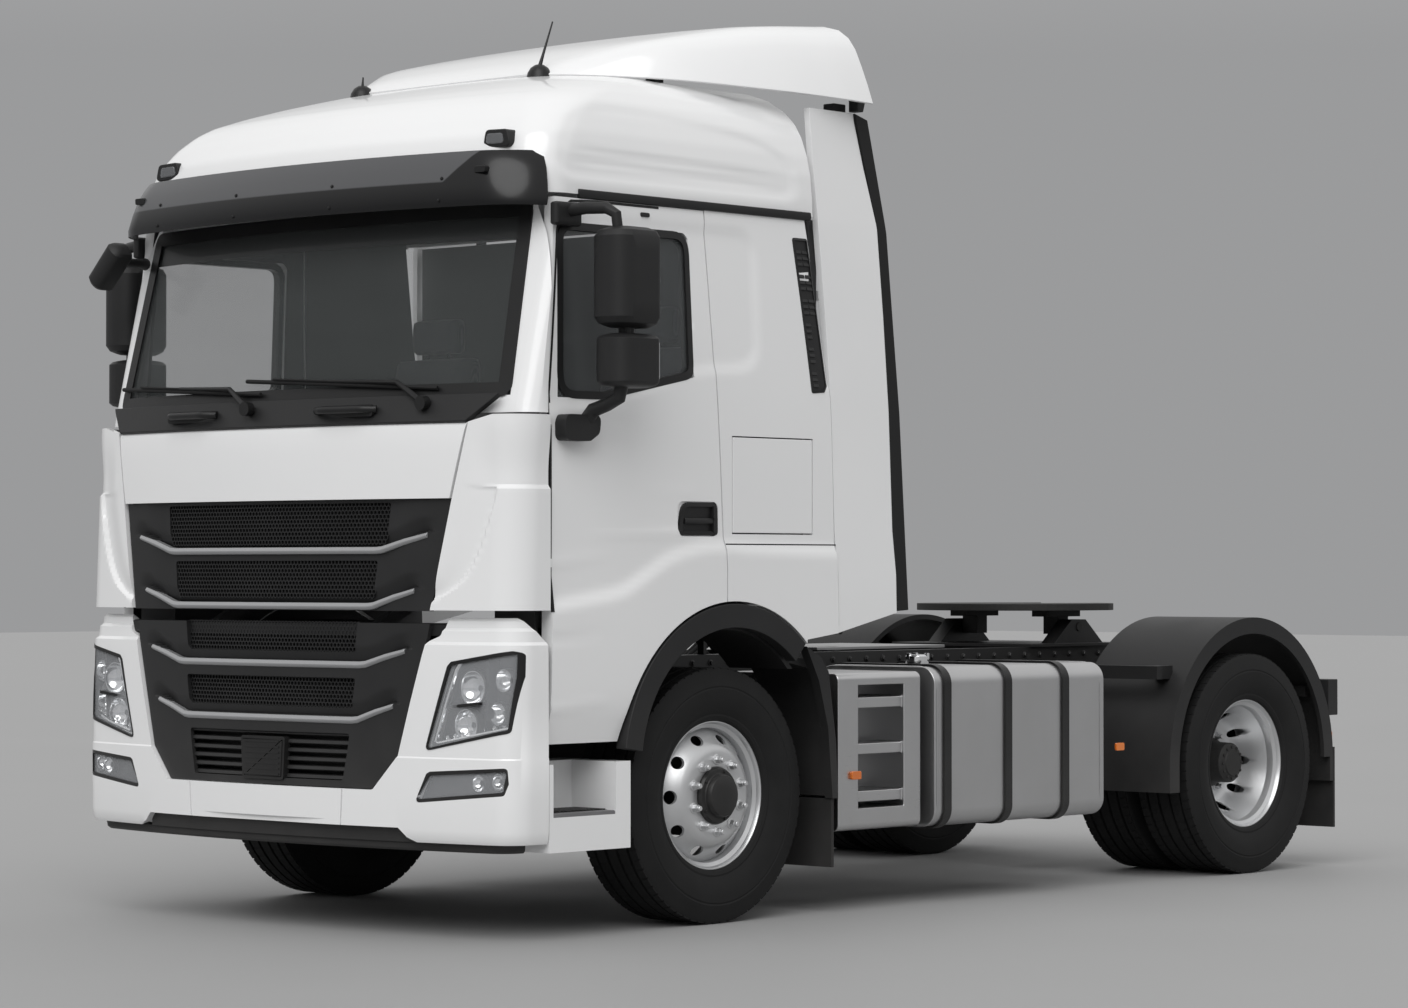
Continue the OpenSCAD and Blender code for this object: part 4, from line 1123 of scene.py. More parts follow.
def make_mirrors():
    for side, s in HANDS.items():
        body = f"{side}_door"
        shape = housing((1.335, -0.930, 2.310), (1.520, -0.70, 2.690), 0.085, 0.05)
        shape.take(housing((1.335, -0.915, 2.085), (1.515, -0.70, 2.288), 0.08, 0.045))
        arms = Shape()
        arms.take(housing((1.196, -0.985, 2.700), (1.236, -0.845, 2.790), 0.015, 0.012))
        arms.tube([(1.215, -0.90, 2.757), (1.30, -0.892, 2.764), (1.39, -0.872, 2.760),
                   (1.43, -0.862, 2.735), (1.435, -0.858, 2.68)],
                  [0.024, 0.024, 0.023, 0.021, 0.02], 14)
        arms.tube([(1.425, -0.80, 2.32), (1.425, -0.80, 2.275)], 0.03, 14)
        arms.tube([(1.45, -0.82, 2.31), (1.45, -0.82, 2.28)], 0.012, 10)
        foot = rounded([(-0.985, 1.885), (-0.985, 1.985), (-0.79, 1.985), (-0.80, 1.915), (-0.85, 1.885)],
                       0.03, 5)
        arms.prism(foot, "x", 1.222, 1.288)
        arms.tube([(1.262, -0.845, 1.965), (1.29, -0.84, 2.002), (1.36, -0.835, 2.022),
                   (1.415, -0.83, 2.045), (1.425, -0.825, 2.10)],
                  [0.03, 0.028, 0.026, 0.026, 0.027], 14)
        glasses = Shape()
        for z0, z1 in ((2.335, 2.665), (2.105, 2.268)):
            pane = rounded([(1.352, z0), (1.352, z1), (1.502, z1), (1.502, z0)], 0.022, 5)
            glasses.prism(pane, "y", -0.7005, -0.6975)
        for part in (shape, arms, glasses):
            part.verts = [(s * x, y, z) for x, y, z in part.verts]
        piece(f"{side}_mirror_housings", shape, body, PLASTIC, (f"{side}_mirror",), edge=0.003)
        piece(f"{side}_mirror_arms", arms, body, PLASTIC, edge=0.004)
        piece(f"{side}_mirror_glasses", glasses, body, CHROME, edge=0.001)
    kerb = housing((-0.045, -0.05, -0.108), (0.045, 0.045, 0.108), 0.03, 0.032)
    turn = Matrix.Rotation(math.radians(45), 3, "Y")
    kerb.verts = [tuple(turn @ Vector(v) + Vector((-1.130, -1.190, 2.650))) for v in kerb.verts]
    kerb.tube([(-1.125, -1.17, 2.665), (-1.132, -1.10, 2.672), (-1.135, -1.03, 2.672),
               (-1.15, -0.985, 2.672)], [0.022, 0.019, 0.019, 0.026], 12)
    piece("ramp_mirror", kerb, "cab", PLASTIC, ("front_mirror",), edge=0.002)


# ---------- copies on points: nuts, blocks, mesh cells ----------
def spread_tree():
    """Node group that sets one piece on every point, turned and sized by the points' attributes."""
    tree = bpy.data.node_groups.new("spread", "GeometryNodeTree")
    face = tree.interface
    face.new_socket("Points", in_out="INPUT", socket_type="NodeSocketGeometry")
    face.new_socket("Piece", in_out="INPUT", socket_type="NodeSocketObject")
    face.new_socket("Finish", in_out="INPUT", socket_type="NodeSocketMaterial")
    face.new_socket("Result", in_out="OUTPUT", socket_type="NodeSocketGeometry")
    add, link = tree.nodes.new, tree.links.new
    start, end = add("NodeGroupInput"), add("NodeGroupOutput")
    info, place = add("GeometryNodeObjectInfo"), add("GeometryNodeInstanceOnPoints")
    turn, size = add("GeometryNodeInputNamedAttribute"), add("GeometryNodeInputNamedAttribute")
    real, paint = add("GeometryNodeRealizeInstances"), add("GeometryNodeSetMaterial")
    for node, label in ((turn, "turn"), (size, "size")):
        node.data_type = "FLOAT_VECTOR"
        node.inputs["Name"].default_value = label
    link(start.outputs["Piece"], info.inputs["Object"])
    link(start.outputs["Points"], place.inputs["Points"])
    link(info.outputs["Geometry"], place.inputs["Instance"])
    link(turn.outputs["Attribute"], place.inputs["Rotation"])
    link(size.outputs["Attribute"], place.inputs["Scale"])
    link(place.outputs["Instances"], real.inputs["Geometry"])
    link(real.outputs["Geometry"], paint.inputs["Geometry"])
    link(start.outputs["Finish"], paint.inputs["Material"])
    link(paint.outputs["Geometry"], end.inputs["Result"])
    return tree


SPREAD = spread_tree()


def spread(name, spots, part, body, finish):
    """One mesh made of a copy of part at every spot: (x, y, z), turn angles, size."""
    mesh = bpy.data.meshes.new(name)
    mesh.from_pydata([(x, y + AXLE, z) for (x, y, z), turn, size in spots], [], [])
    for column, label in enumerate(("turn", "size"), 1):
        values = [spot[column] for spot in spots]
        values = [v if isinstance(v, (tuple, list)) else (v, v, v) for v in values]
        layer = mesh.attributes.new(label, "FLOAT_VECTOR", "POINT")
        layer.data.foreach_set("vector", [c for v in values for c in v])
    obj = linked(name, mesh)
    part.verts = [(x, y - AXLE, z) for x, y, z in part.verts]
    seed = set_down(name + "_seed", part)
    made = obj.modifiers.new("spread", "NODES")
    made.node_group = SPREAD
    for item in SPREAD.interface.items_tree:
        if item.in_out == "INPUT" and item.name == "Piece":
            made[item.identifier] = seed
        if item.in_out == "INPUT" and item.name == "Finish":
            made[item.identifier] = finish
    bake(obj)
    bpy.data.objects.remove(seed)
    return fit(obj, body, finish)


def hexagon(radius, levels):
    """A six-sided head along X: (x, share of the radius) levels."""
    return Shape().loft([[(x, radius * f * math.cos(t), radius * f * math.sin(t)) for t in turns(6)]
                         for x, f in levels])


def bolt_head():
    """A flanged hexagon bolt, axis along X."""
    shape = hexagon(0.0105, ((0.003, 1.0), (0.010, 1.0), (0.0125, 0.8)))
    return shape.lathe([(0.0165, -0.001), (0.0165, 0.002), (0.012, 0.004)], (0, 0, 0), "x", 14, loop=False)


# ---------- nose ----------
def trimmed(shape, name, outline, near=-1.45, far=-0.88, holes=()):
    """A nose wall cut to an outline in (x, z), with holes cut out."""
    obj = set_down(name, shape)
    keep = Shape().prism(outline, "y", near, far)
    carved(obj, keep, operation="INTERSECT")
    for hole in holes:
        carved(obj, Shape().prism(hole, "y", near, far))
    return obj


def flip(outline):
    return [(-x, z) for x, z in outline]


BUMPER_LEVELS = [(0.371, -1.346, 1.240), (0.385, -1.354, 1.246), (0.42, -1.358, 1.249),
                 (0.55, -1.360, 1.250), (0.688, -1.3595, 1.250), (0.694, -1.356, 1.248),
                 (0.90, -1.356, 1.248), (1.08, -1.352, 1.247), (1.116, -1.349, 1.245),
                 (1.124, -1.340, 1.238), (1.128, -1.336, 1.235), (1.168, -1.332, 1.232),
                 (1.176, -1.324, 1.226), (1.180, -1.320, 1.223), (1.206, -1.317, 1.221),
                 (1.218, -1.308, 1.214)]
HEAD_LAMP = [(0.845, 0.716), (1.214, 0.790), (1.241, 1.000), (1.241, 1.089), (1.215, 1.096),
             (0.962, 1.054), (0.945, 1.036)]
FOG_PANEL = [(0.800, 0.520), (1.196, 0.556), (1.210, 0.600), (1.206, 0.660), (0.872, 0.640),
             (0.855, 0.632)]
LOWER_EDGE = [(-0.596, 0.563), (-0.716, 0.692), (-0.842, 1.128), (-0.898, 1.150), (-0.926, 1.224),
              (-0.93, 1.30), (0.93, 1.30), (0.926, 1.224), (0.898, 1.150), (0.842, 1.128), (0.716, 0.692),
              (0.596, 0.563)]


def nose_at(x, front, arc=5.5):
    return front + arc - math.sqrt(arc * arc - x * x)


def make_bumper():
    levels = [(z, y, 5.5, half, 0.12, -1.036) for z, y, half in BUMPER_LEVELS]
    wall = nose_wall(levels, 0.03, count=60, turn=14)
    skirt = [(-1.26, 0.371), (-0.80, 0.371), (-0.759, 0.390), (-0.72, 0.424), (0.72, 0.424),
             (0.759, 0.390), (0.80, 0.371), (1.26, 0.371), (1.26, 1.218), (-1.26, 1.218)]
    head = rounded(HEAD_LAMP, 0.018, 4)
    fog = rounded(FOG_PANEL, 0.014, 4)
    obj = trimmed(wall, "bumper_skin", skirt, -1.45, -1.0,
                  [rounded(LOWER_EDGE, 0.02, 4), head, flip(head), fog, flip(fog)])
    shoulder = Shape()
    for s in SIDES:
        shoulder.prism([(-1.150, 1.30), (-1.150, 1.222), (-1.03, 1.120), (-1.0, 1.120), (-1.0, 1.30)], "x",
                       s * 0.9, s * 1.3)
    carved(obj, shoulder)
    # chamfered seams of the middle section and its stepped recess
    seams = Shape()
    for s in SIDES:
        seams.prism([(s * 0.440, 0.57), (s * 0.447, 0.57), (s * 0.436, 0.40), (s * 0.429, 0.40)], "y",
                    -1.40, -1.335)
    recess = rounded([(-0.425, 0.445), (0.425, 0.445), (0.40, 0.38), (-0.40, 0.38)], 0.02, 4)
    seams.prism(recess, "y", -1.40, -1.347)
    carved(obj, seams)
    fit(obj, "chassis", WHITE, ("bumper",), 0.005, 28.0)
    lip = nose_wall([(0.336, -1.300, 5.5, 1.170, 0.09, -1.09), (0.345, -1.312, 5.5, 1.178, 0.09, -1.09),
                     (0.366, -1.316, 5.5, 1.180, 0.09, -1.09), (0.3712, -1.314, 5.5, 1.178, 0.09, -1.09)],
                     0.05)
    lip.take(nose_wall([(0.369, -1.326, 5.5, 0.78, 0.05, -1.20), (0.43, -1.330, 5.5, 0.78, 0.05, -1.20)],
                       0.03))
    piece("bumper_lip", lip, "chassis", PLASTIC, edge=0.006)


def lamp_set(name, outline, deep, s):
    """Black surround and clear cover of a lamp in the bumper."""
    inner = rounded(inset(outline, 0.014), 0.010, 4)
    pane_edge = rounded(inset(outline, 0.011), 0.010, 4)
    well = rounded(inset(outline, -0.002), 0.018, 4)
    outline = rounded(outline, 0.018, 4)
    if s < 0:
        outline, inner, pane_edge, well = flip(outline), flip(inner), flip(pane_edge), flip(well)
    front = [(z, y - 0.0004, 5.5, half + 0.0004, 0.12, -1.1) for z, y, half in
             ((0.50, -1.3595, 1.2495), (0.69, -1.3585, 1.249), (0.95, -1.3565, 1.2485),
              (1.12, -1.352, 1.2475))]
    back = [(z, y + deep, 5.5 - deep, half - deep, 0.12 - deep * 0.5, -1.1) for z, y, _, half, *_ in front]
    rim = trimmed(nose_wall(front, 0.016, count=60, turn=14), name + "_surround", outline, -1.45, -1.0,
                  [inner])
    fit(rim, "chassis", SATIN, (), 0.003, 28.0)
    tray = trimmed(nose_wall(back, 0.006, count=60, turn=14), name + "_tray", well, -1.45, -1.0)
    fit(tray, "chassis", SATIN, (), 0.001, 28.0)
    pane = [(z, y + 0.006, 5.5, half - 0.006, 0.114, -1.1) for z, y, _, half, *_ in front]
    cover = trimmed(nose_wall(pane, 0.004, count=60, turn=14), name + "_cover", pane_edge, -1.45, -1.0)
    fit(cover, "chassis", LENS, (), 0.001, 28.0)


def bowl(shape, x, z, y, radius, depth):
    """A lamp reflector: a hollow turned bowl that opens towards the front."""
    profile = [(radius, 0.0), (radius * 0.93, depth * 0.3), (radius * 0.72, depth * 0.65),
               (radius * 0.4, depth * 0.92), (0.012, depth), (0.012, depth + 0.004),
               (radius * 0.5, depth + 0.002), (radius * 1.02, depth * 0.3), (radius * 1.05, 0.0)]
    return shape.lathe(profile, (x, y, z), "y", 40, loop=True)


def lamp_y(x, front, depth, bend=0.42, start=1.10):
    """How far back a lamp part sits: it follows the bumper round its corner."""
    return nose_at(x, front) + depth + bend * max(0.0, x - start) ** 1.2


def make_lamps():
    for side, s in HANDS.items():
        lamp_set(f"{side}_head_lamp", HEAD_LAMP, 0.075, s)
        lamp_set(f"{side}_fog_lamp", FOG_PANEL, 0.05, s)
        bright, dark, bulbs = Shape(), Shape(), Shape()
        for x, z, r in ((1.040, 0.955, 0.062), (1.010, 0.815, 0.058), (1.165, 0.985, 0.040),
                        (1.142, 0.860, 0.040)):
            y = lamp_y(x, -1.352, 0.022, 0.30, 1.09)
            bowl(bright, s * x, z, y, r, 0.042)
            dark.lathe([(r * 1.06, -0.003), (r * 1.16, 0.002), (r * 1.16, 0.03), (r * 1.04, 0.03)],
                       (s * x, y, z), "y", 40)
            bulbs.lathe([(0.0, -0.004), (0.012, 0.0), (0.016, 0.012), (0.012, 0.05), (0.0, 0.052)][::-1],
                        (s * x, y + 0.012, z), "y", 20, loop=False)
        for x, z in ((1.075, 0.600), (1.152, 0.606)):
            y = lamp_y(x, -1.357, 0.016)
            bowl(bright, s * x, z, y, 0.030, 0.022)
            dark.lathe([(0.0315, -0.002), (0.036, 0.002), (0.036, 0.02), (0.031, 0.02)], (s * x, y, z), "y",
                       32)
        strip = []
        for x, z in ((0.985, 1.048), (0.962, 1.015), (0.915, 0.885), (0.868, 0.745), (0.885, 0.738),
                     (1.05, 0.770), (1.205, 0.803)):
            strip.append((s * (x + 0.012), lamp_y(x, -1.350, 0.014), z + 0.008))
        bright.tube(strip, 0.009, 8)
        for k in range(9):
            x = 0.925 + 0.034 * k
            z = 0.768 + (x - 0.925) * 0.2
            y = lamp_y(x, -1.345, 0.025)
            bright.disc((s * x, y, z), 0.0085, -0.006, "y", 14, 0.001)
        divider = Shape()
        divider.prism([(s * 1.093, 0.785), (s * 1.105, 0.785), (s * 1.118, 1.06), (s * 1.106, 1.06)], "y",
                      -1.222, -1.14)
        divider.prism([(s * 0.93, 0.888), (s * 1.10, 0.905), (s * 1.10, 0.893), (s * 0.93, 0.876)], "y",
                      -1.262, -1.2)
        piece(f"{side}_lamp_reflectors", bright, "chassis", CHROME, ("front_lamps",) if s > 0 else ())
        piece(f"{side}_lamp_bezels", dark, "chassis", SATIN, edge=0.001)
        piece(f"{side}_lamp_bulbs", bulbs, "chassis", LENS)
        piece(f"{side}_lamp_dividers", divider, "chassis", SATIN, edge=0.002)


def hex_cells(outline, y_of, pitch=0.0185):
    """Spots of a honeycomb inside an outline in (x, z)."""
    spots = []
    zs = [z for x, z in outline]
    xs = [x for x, z in outline]
    rows = int((max(zs) - min(zs)) / (pitch * 0.866)) + 1
    for r in range(rows):
        z = min(zs) + pitch * 0.5 + r * pitch * 0.866
        for c in range(int((max(xs) - min(xs)) / pitch) + 1):
            x = min(xs) + (c + 0.5 * (r % 2)) * pitch + 0.006
            inside = False
            for (xa, za), (xb, zb) in zip(outline, outline[1:] + outline[:1]):
                if (za > z) != (zb > z) and x < xa + (z - za) * (xb - xa) / (zb - za):
                    inside = not inside
            if inside:
                spots.append(((x, y_of(x, z), z), 0.0, 1.0))
    return spots


def cell_ring(pitch=0.0185, wall=0.0026):
    """One hexagonal cell of a mesh sheet, lying in the XZ plane."""
    rings = []
    for t in turns(6, 0.5):
        c, s = math.cos(t), math.sin(t)
        outer, inner = pitch * 0.5774 + wall * 0.35, pitch * 0.5774 - wall
        rings.append([(c * outer, -0.003, s * outer), (c * outer, 0.006, s * outer),
                      (c * inner, 0.006, s * inner), (c * inner, -0.003, s * inner)])
    return Shape().loft(rings, loop=True)


GRILLE_LEAN = math.tan(math.radians(2.2))


def grille_front(z):
    """Front of the nose on its centre line."""
    return -1.353 + (z - 1.243) * GRILLE_LEAN


def mirrored_outline(half):
    return half + [(-x, z) for x, z in half[::-1]]


# mesh openings: half outlines, top edge first
MESH = [[(0.647, 1.654), (0.630, 1.520), (0.607, 1.500)], [(0.588, 1.434), (0.572, 1.312), (0.556, 1.294)]]
LOW_MESH = [[(0.500, 1.205), (0.486, 1.098), (0.478, 1.084)],
            [(0.490, 0.985), (0.474, 0.885), (0.466, 0.870)]]
BARS = [(0.834, 1.530, 0.618, 1.4725), (0.779, 1.319, 0.581, 1.259)]
LOW_BARS = [(0.734, 1.090, 0.542, 1.0355), (0.679, 0.881, 0.504, 0.8235)]


def bar_shape(shape, bars, face):
    """Silver bars with upturned ends: each row is end x, end z, knee x, middle z."""
    for end_x, end_z, knee, z in bars:
        path = [(end_x, end_z, 0.010), (end_x * 0.5 + knee * 0.5, (end_z + z) * 0.5 + 0.004, 0.0125),
                (knee, z + 0.003, 0.0135)]
        path += [(knee - 0.03, z, 0.0135)] + [(knee * k / 6, z, 0.0135) for k in range(4, -1, -1)]
        full = path + [(-x, v, w) for x, v, w in path[:-1][::-1]]
        rings = []
        for x, v, w in full:
            y = face(x, v) + 0.002
            rings.append([(x, y - 0.010, v - w * 0.5), (x, y - 0.012, v), (x, y - 0.004, v + w),
                          (x, y + 0.020, v + w), (x, y + 0.020, v - w), (x, y - 0.003, v - w)])
        shape.loft(rings)


def ledge_depth(x, z, bars):
    """How far a grille face steps back above a bar, most just over the bar."""
    depth = 0.0
    for end_x, end_z, knee, mid in bars:
        rise = (end_z - mid) * smooth(abs(x), knee, end_x)
        top, low = mid + 0.070 + rise, mid + 0.012 + rise
        if low < z < top:
            step = 0.026 * (1 - (z - low) / (top - low))
            depth += step * (1 - smooth(abs(x), end_x - 0.02, end_x + 0.04))
    return depth


def curtain(half, levels, steps=20):
    """A thin sheet across the nose that follows its arc, through (y, z) levels."""
    rows = [[(x, nose_at(x, y), z) for x in spaced(half, -half, steps)] for y, z in levels]
    return Shape().skin(rows, 0.006)


def make_upper_grille():
    def face(x, z):
        return nose_at(x, grille_front(z) + 0.012)

    def back(x, z):
        return nose_at(x, grille_front(z) + 0.030)

    rows = []
    for z in spaced(1.243, 1.667, 60):
        row = []
        for x in spaced(0.96, -0.96, 96):
            # cheeks slope in towards the mesh
            edge = 0.64 - (1.66 - z) * 0.22
            cheek = 0.018 * smooth(abs(x), edge + 0.16, edge) * 0.6
            row.append((x, face(x, z) + ledge_depth(x, z, BARS) + cheek, z))
        rows.append(row)
    outline = [(-0.859, 1.243), (0.859, 1.243), (0.944, 1.666), (-0.944, 1.666)]
    holes = [rounded(mirrored_outline(half), 0.012, 3) for half in MESH]
    obj = trimmed(Shape().skin(rows, 0.016), "upper_grille_panel", outline, -1.45, -1.15, holes)
    fit(obj, "nose_panel", GRILLE_GREY, ("upper_grille",), 0.004, 30.0)
    bars = Shape()
    bar_shape(bars, BARS, face)
    piece("upper_grille_bars", bars, "nose_panel", BAR_SILVER, edge=0.002)
    spots = []
    for half in MESH:
        grown = zip(mirrored_outline(half), (0.004, 0, -0.004, -0.004, 0, 0.004))
        spots += hex_cells([(x * 1.01, z + dz) for (x, z), dz in grown], back)
    spread("upper_grille_mesh", spots, cell_ring(), "nose_panel", GRILLE_GREY)


def make_lower_grille():
    def face(x, z):
        return nose_at(x, -1.336 + (1.2 - z) * -0.012)

    def back(x, z):
        return face(x, z) + 0.020

    rows = []
    for z in spaced(0.560, 1.200, 80):
        row = []
        for x in spaced(0.90, -0.90, 96):
            row.append((x, face(x, z) + ledge_depth(x, z, LOW_BARS), z))
        rows.append(row)
    outline = [(-0.592, 0.566), (-0.712, 0.694), (-0.838, 1.143), (-0.850, 1.196), (0.850, 1.196),
               (0.838, 1.143), (0.712, 0.694), (0.592, 0.566)]
    holes = [rounded(mirrored_outline(half), 0.012, 3) for half in LOW_MESH]
    slot_low = [(0.463, 0.772), (0.452, 0.700), (0.43, 0.592)]
    holes.append(rounded(mirrored_outline(slot_low), 0.012, 3))
    obj = trimmed(Shape().skin(rows, 0.018), "lower_grille_panel", outline, -1.45, -1.15, holes)
    fit(obj, "chassis", GRILLE_GREY, ("lower_grille",), 0.004, 30.0)
    bars = Shape()
    bar_shape(bars, LOW_BARS, face)
    piece("lower_grille_bars", bars, "chassis", BAR_SILVER, edge=0.002)
    spots = []
    for half in LOW_MESH:
        spots += hex_cells(mirrored_outline(half), back)
    spread("lower_grille_mesh", spots, cell_ring(), "chassis", GRILLE_GREY)
    # lower slats, one copied along a row, and the block in their middle
    slat = Shape()
    rings = []
    for x in spaced(0.47, -0.47, 24):
        y = nose_at(x, 0.0)
        rings.append([(x, y - 0.008, -0.004), (x, y - 0.004, 0.008), (x, y + 0.022, 0.012),
                      (x, y + 0.022, -0.002), (x, y, -0.008)])
    slat.loft(rings)
    y = face(0, 0.7) + 0.016
    spots = [((0, y, 0.600 + 0.0335 * k), 0.0, (0.93 + 0.013 * k, 1, 1)) for k in range(6)]
    spread("lower_grille_slats", spots, slat, "chassis", GRILLE_GREY)
    block = Shape()
    outer = rounded([(-0.128, 0.752), (0.128, 0.752), (0.118, 0.585), (-0.118, 0.585)], 0.014, 4)
    inner = inset(outer, 0.013)
    y = face(0.1, 0.68)
    block.loft([[(x, y - 0.010, z) for x, z in outer], [(x, y + 0.02, z) for x, z in outer]])
    block.loft([[(x, y - 0.013, z) for x, z in inner], [(x, y - 0.004, z) for x, z in inner]])
    for k in range(7):
        block.box((-0.098, y - 0.0155, 0.602 + 0.021 * k), (0.098, y - 0.006, 0.609 + 0.021 * k))
    piece("grille_sensor_block", block, "chassis", SATIN, edge=0.003)
    low_back = [(-1.25, z) for z in (0.58, 0.8, 1.0, 1.19)]
    piece("grille_dark_back", curtain(0.72, low_back), "chassis", DEEP)
    # painted shade: a near-black sheet behind the upper grille that keeps its openings dark
    shade_sheet_levels = [(grille_front(z) + 0.055, z) for z in (1.25, 1.4, 1.55, 1.66)]
    piece("hood_dark_back", curtain(0.80, shade_sheet_levels), "nose_panel", DEEP)
    # black ledge that closes the gap under the tilting nose
    ledge = [(-1.318, 1.150), (-1.318, 1.192), (-1.305, 1.198)]
    piece("gap_ledge", curtain(0.95, ledge, 24), "chassis", SATIN)


def make_hood():
    """White panel above the grille, and the moulded corner panels beside it."""
    levels = []
    for z, out in ((1.660, -0.008), (1.668, 0.0), (1.75, 0.0015), (1.85, 0.0015), (1.925, -0.001),
                   (1.945, -0.004), (1.954, -0.012)):
        levels.append((z, grille_front(z) - 0.004 - out, 5.5, 1.245, 0.15, -1.02))
    obj = trimmed(nose_wall(levels, 0.014, count=60, turn=14), "hood_skin",
                  [(-0.9425, 1.668), (0.9425, 1.668), (1.0075, 1.9535), (-1.0075, 1.9535)], -1.45, -0.9)
    fit(obj, "nose_panel", WHITE, ("front_panel",), 0.006, 28.0)
    lip = [(1.245, 0.80), (1.29, 0.90), (1.34, 0.99), (1.40, 1.045), (1.47, 1.082), (1.55, 1.112),
           (1.66, 1.145), (1.72, 1.152)]
    for side, s in HANDS.items():
        rows, base = [], []
        for z in spaced(1.246, 1.982, 92):
            line = nose_line(grille_front(z) - 0.004, 5.5, 1.245, 0.15, -1.022, 150, 26)
            line = [(x, y) for x, y in line if x > 0.83]
            row = []
            for i, (x, y) in enumerate(line):
                (xa, ya), (xb, yb) = line[max(i - 1, 0)], line[min(i + 1, len(line) - 1)]
                along = Vector((xb - xa, yb - ya)).normalized()
                out = Vector((-along.y, along.x))
                # the outer blister stands proud: a scoop runs along its lip, a ledge closes its top
                at = through(lip, z)
                scoop = (1 - smooth(x, at - 0.012, at + 0.004)) * smooth(x, at - 0.15, at - 0.03)
                scoop *= 1 - smooth(z, 1.700, 1.728)
                ledge = smooth(z, 1.700, 1.718) * (1 - smooth(z, 1.76, 1.96)) * smooth(x, 1.02, 1.13)
                shift = -max(0.015 * scoop, 0.013 * ledge) - 0.001
                row.append((s * (x + out.x * shift), y + out.y * shift, z))
            rows.append(row)
            base.append([(s * x, y, z) for x, y in line])
        wall = Shape().skin(rows, 0.026 if s > 0 else -0.026, base)
        outline = [(0.867, 1.246), (0.953, 1.667), (1.017, 1.955), (1.128, 1.983), (1.26, 1.983),
                   (1.26, 1.246)]
        if s < 0:
            outline = flip(outline)
        obj = trimmed(wall, f"{side}_corner_skin", outline, -1.45, -0.95)
        fit(obj, "cab", WHITE, ("corner_panels",) if s > 0 else (), 0.005, 28.0)


# ---------- wheels ----------
TYRE_HALF = 0.1575
BEAD_R = 0.292
GROOVES = (0.56, 0.2, -0.2, -0.56)
GROOVE_HALF = 0.0075
GROOVE_DEPTH = 0.013
TREAD_ROWS = (0.74, 0.38, 0.0, -0.38, -0.74)
TREAD_BLOCKS = 72
STUDS = 10
STUD_CIRCLE = 0.1425
DISC_THICK = 0.012
TWIN_HALF = 0.175


def tyre_profile(half, radius, bead):
    """Section of a tyre: bead, rounded sidewall with a rib, shoulder, crown (radius, along)."""
    side = [(bead, 0.72), (bead + 0.010, 0.80), (bead + 0.022, 0.835), (bead + 0.030, 0.83),
            (bead + 0.045, 0.885), (bead + 0.075, 0.955), (bead + 0.105, 0.985), (bead + 0.130, 0.990),
            (bead + 0.136, 0.972), (bead + 0.142, 0.988), (bead + 0.160, 0.965), (bead + 0.178, 0.930),
            (radius - 0.022, 0.905), (radius - 0.010, 0.885), (radius - 0.005, 0.865)]
    crown = [(radius - 0.003, 0.80), (radius - 0.001, 0.5), (radius, 0.0)]
    outer = [(r, a * half) for r, a in side + crown]
    other = [(r, -a) for r, a in outer[:-1][::-1]]
    inner = [(radius - 0.04, -0.6 * half), (radius - 0.04, 0.6 * half)]
    return outer + other, inner


def tyre_shape(shape, x, y):
    """A tyre with four grooves round its crown."""
    section, inner = tyre_profile(TYRE_HALF, TYRE_R - 0.0015, BEAD_R)
    r, w = TYRE_R - 0.002, GROOVE_HALF
    for share in GROOVES:
        at = share * TYRE_HALF
        index = max(i for i, (_, a) in enumerate(section) if a > at)
        section[index + 1:index + 1] = [(r, at + w), (r - GROOVE_DEPTH, at + w * 0.7),
                                        (r - GROOVE_DEPTH, at - w * 0.7), (r, at - w)]
    shape.lathe(section + inner, (x, y, HUB_Z), "x", 120)


def tread_spots(x, y):
    """Tread blocks: shoulder lugs and staggered middle blocks round the tyre."""
    spots = []
    r = TYRE_R - 0.0062
    for row, across in enumerate(TREAD_ROWS):
        width = TYRE_HALF * (0.30 if abs(across) < 0.7 else 0.25)
        for t in turns(TREAD_BLOCKS, 0.5 * (row % 2)):
            spot = (x + across * TYRE_HALF, y + r * math.sin(t), HUB_Z + r * math.cos(t))
            spots.append((spot, (-t, 0.0, 0.0), (width, 1, 1)))
    return spots


def on_wheel(count, radius, y, shift=0.0):
    """Even spots (y, z) on a circle round a wheel's axis."""
    return [(y + radius * math.sin(t), HUB_Z + radius * math.cos(t)) for t in turns(count, shift)]


def set_nuts(name, x, y, s, body):
    """The ring of wheel nuts on a disc's outer face."""
    facing = (0.0, 0.0, 0.0 if s > 0 else math.pi)
    spots = [((x, v, w), facing, 1.0) for v, w in on_wheel(STUDS, STUD_CIRCLE, y)]
    spread(name, spots, wheel_nut(), body, RIM)


def tread_block():
    """One block of tread, one metre wide before it is sized."""
    skew = 0.004
    rings = []
    for half, deep, z in ((0.5, 0.0185, -0.004), (0.49, 0.0175, 0.0045)):
        rings.append([(-half, -deep - skew, z), (half, -deep + skew, z), (half, deep + skew, z),
                      (-half, deep - skew, z)])
    return Shape().loft(rings)


def wheel_nut():
    """A wheel nut with its stud and washer, its axis along X."""
    shape = hexagon(0.0165, ((0.0, 1.0), (0.020, 1.0), (0.026, 0.86)))
    shape.lathe([(0.022, -0.002), (0.022, 0.003), (0.019, 0.005)], (0, 0, 0), "x", 16, loop=False)
    shape.lathe([(0.0105, 0.02), (0.0105, 0.036), (0.009, 0.038)], (0, 0, 0), "x", 12, loop=False)
    return shape


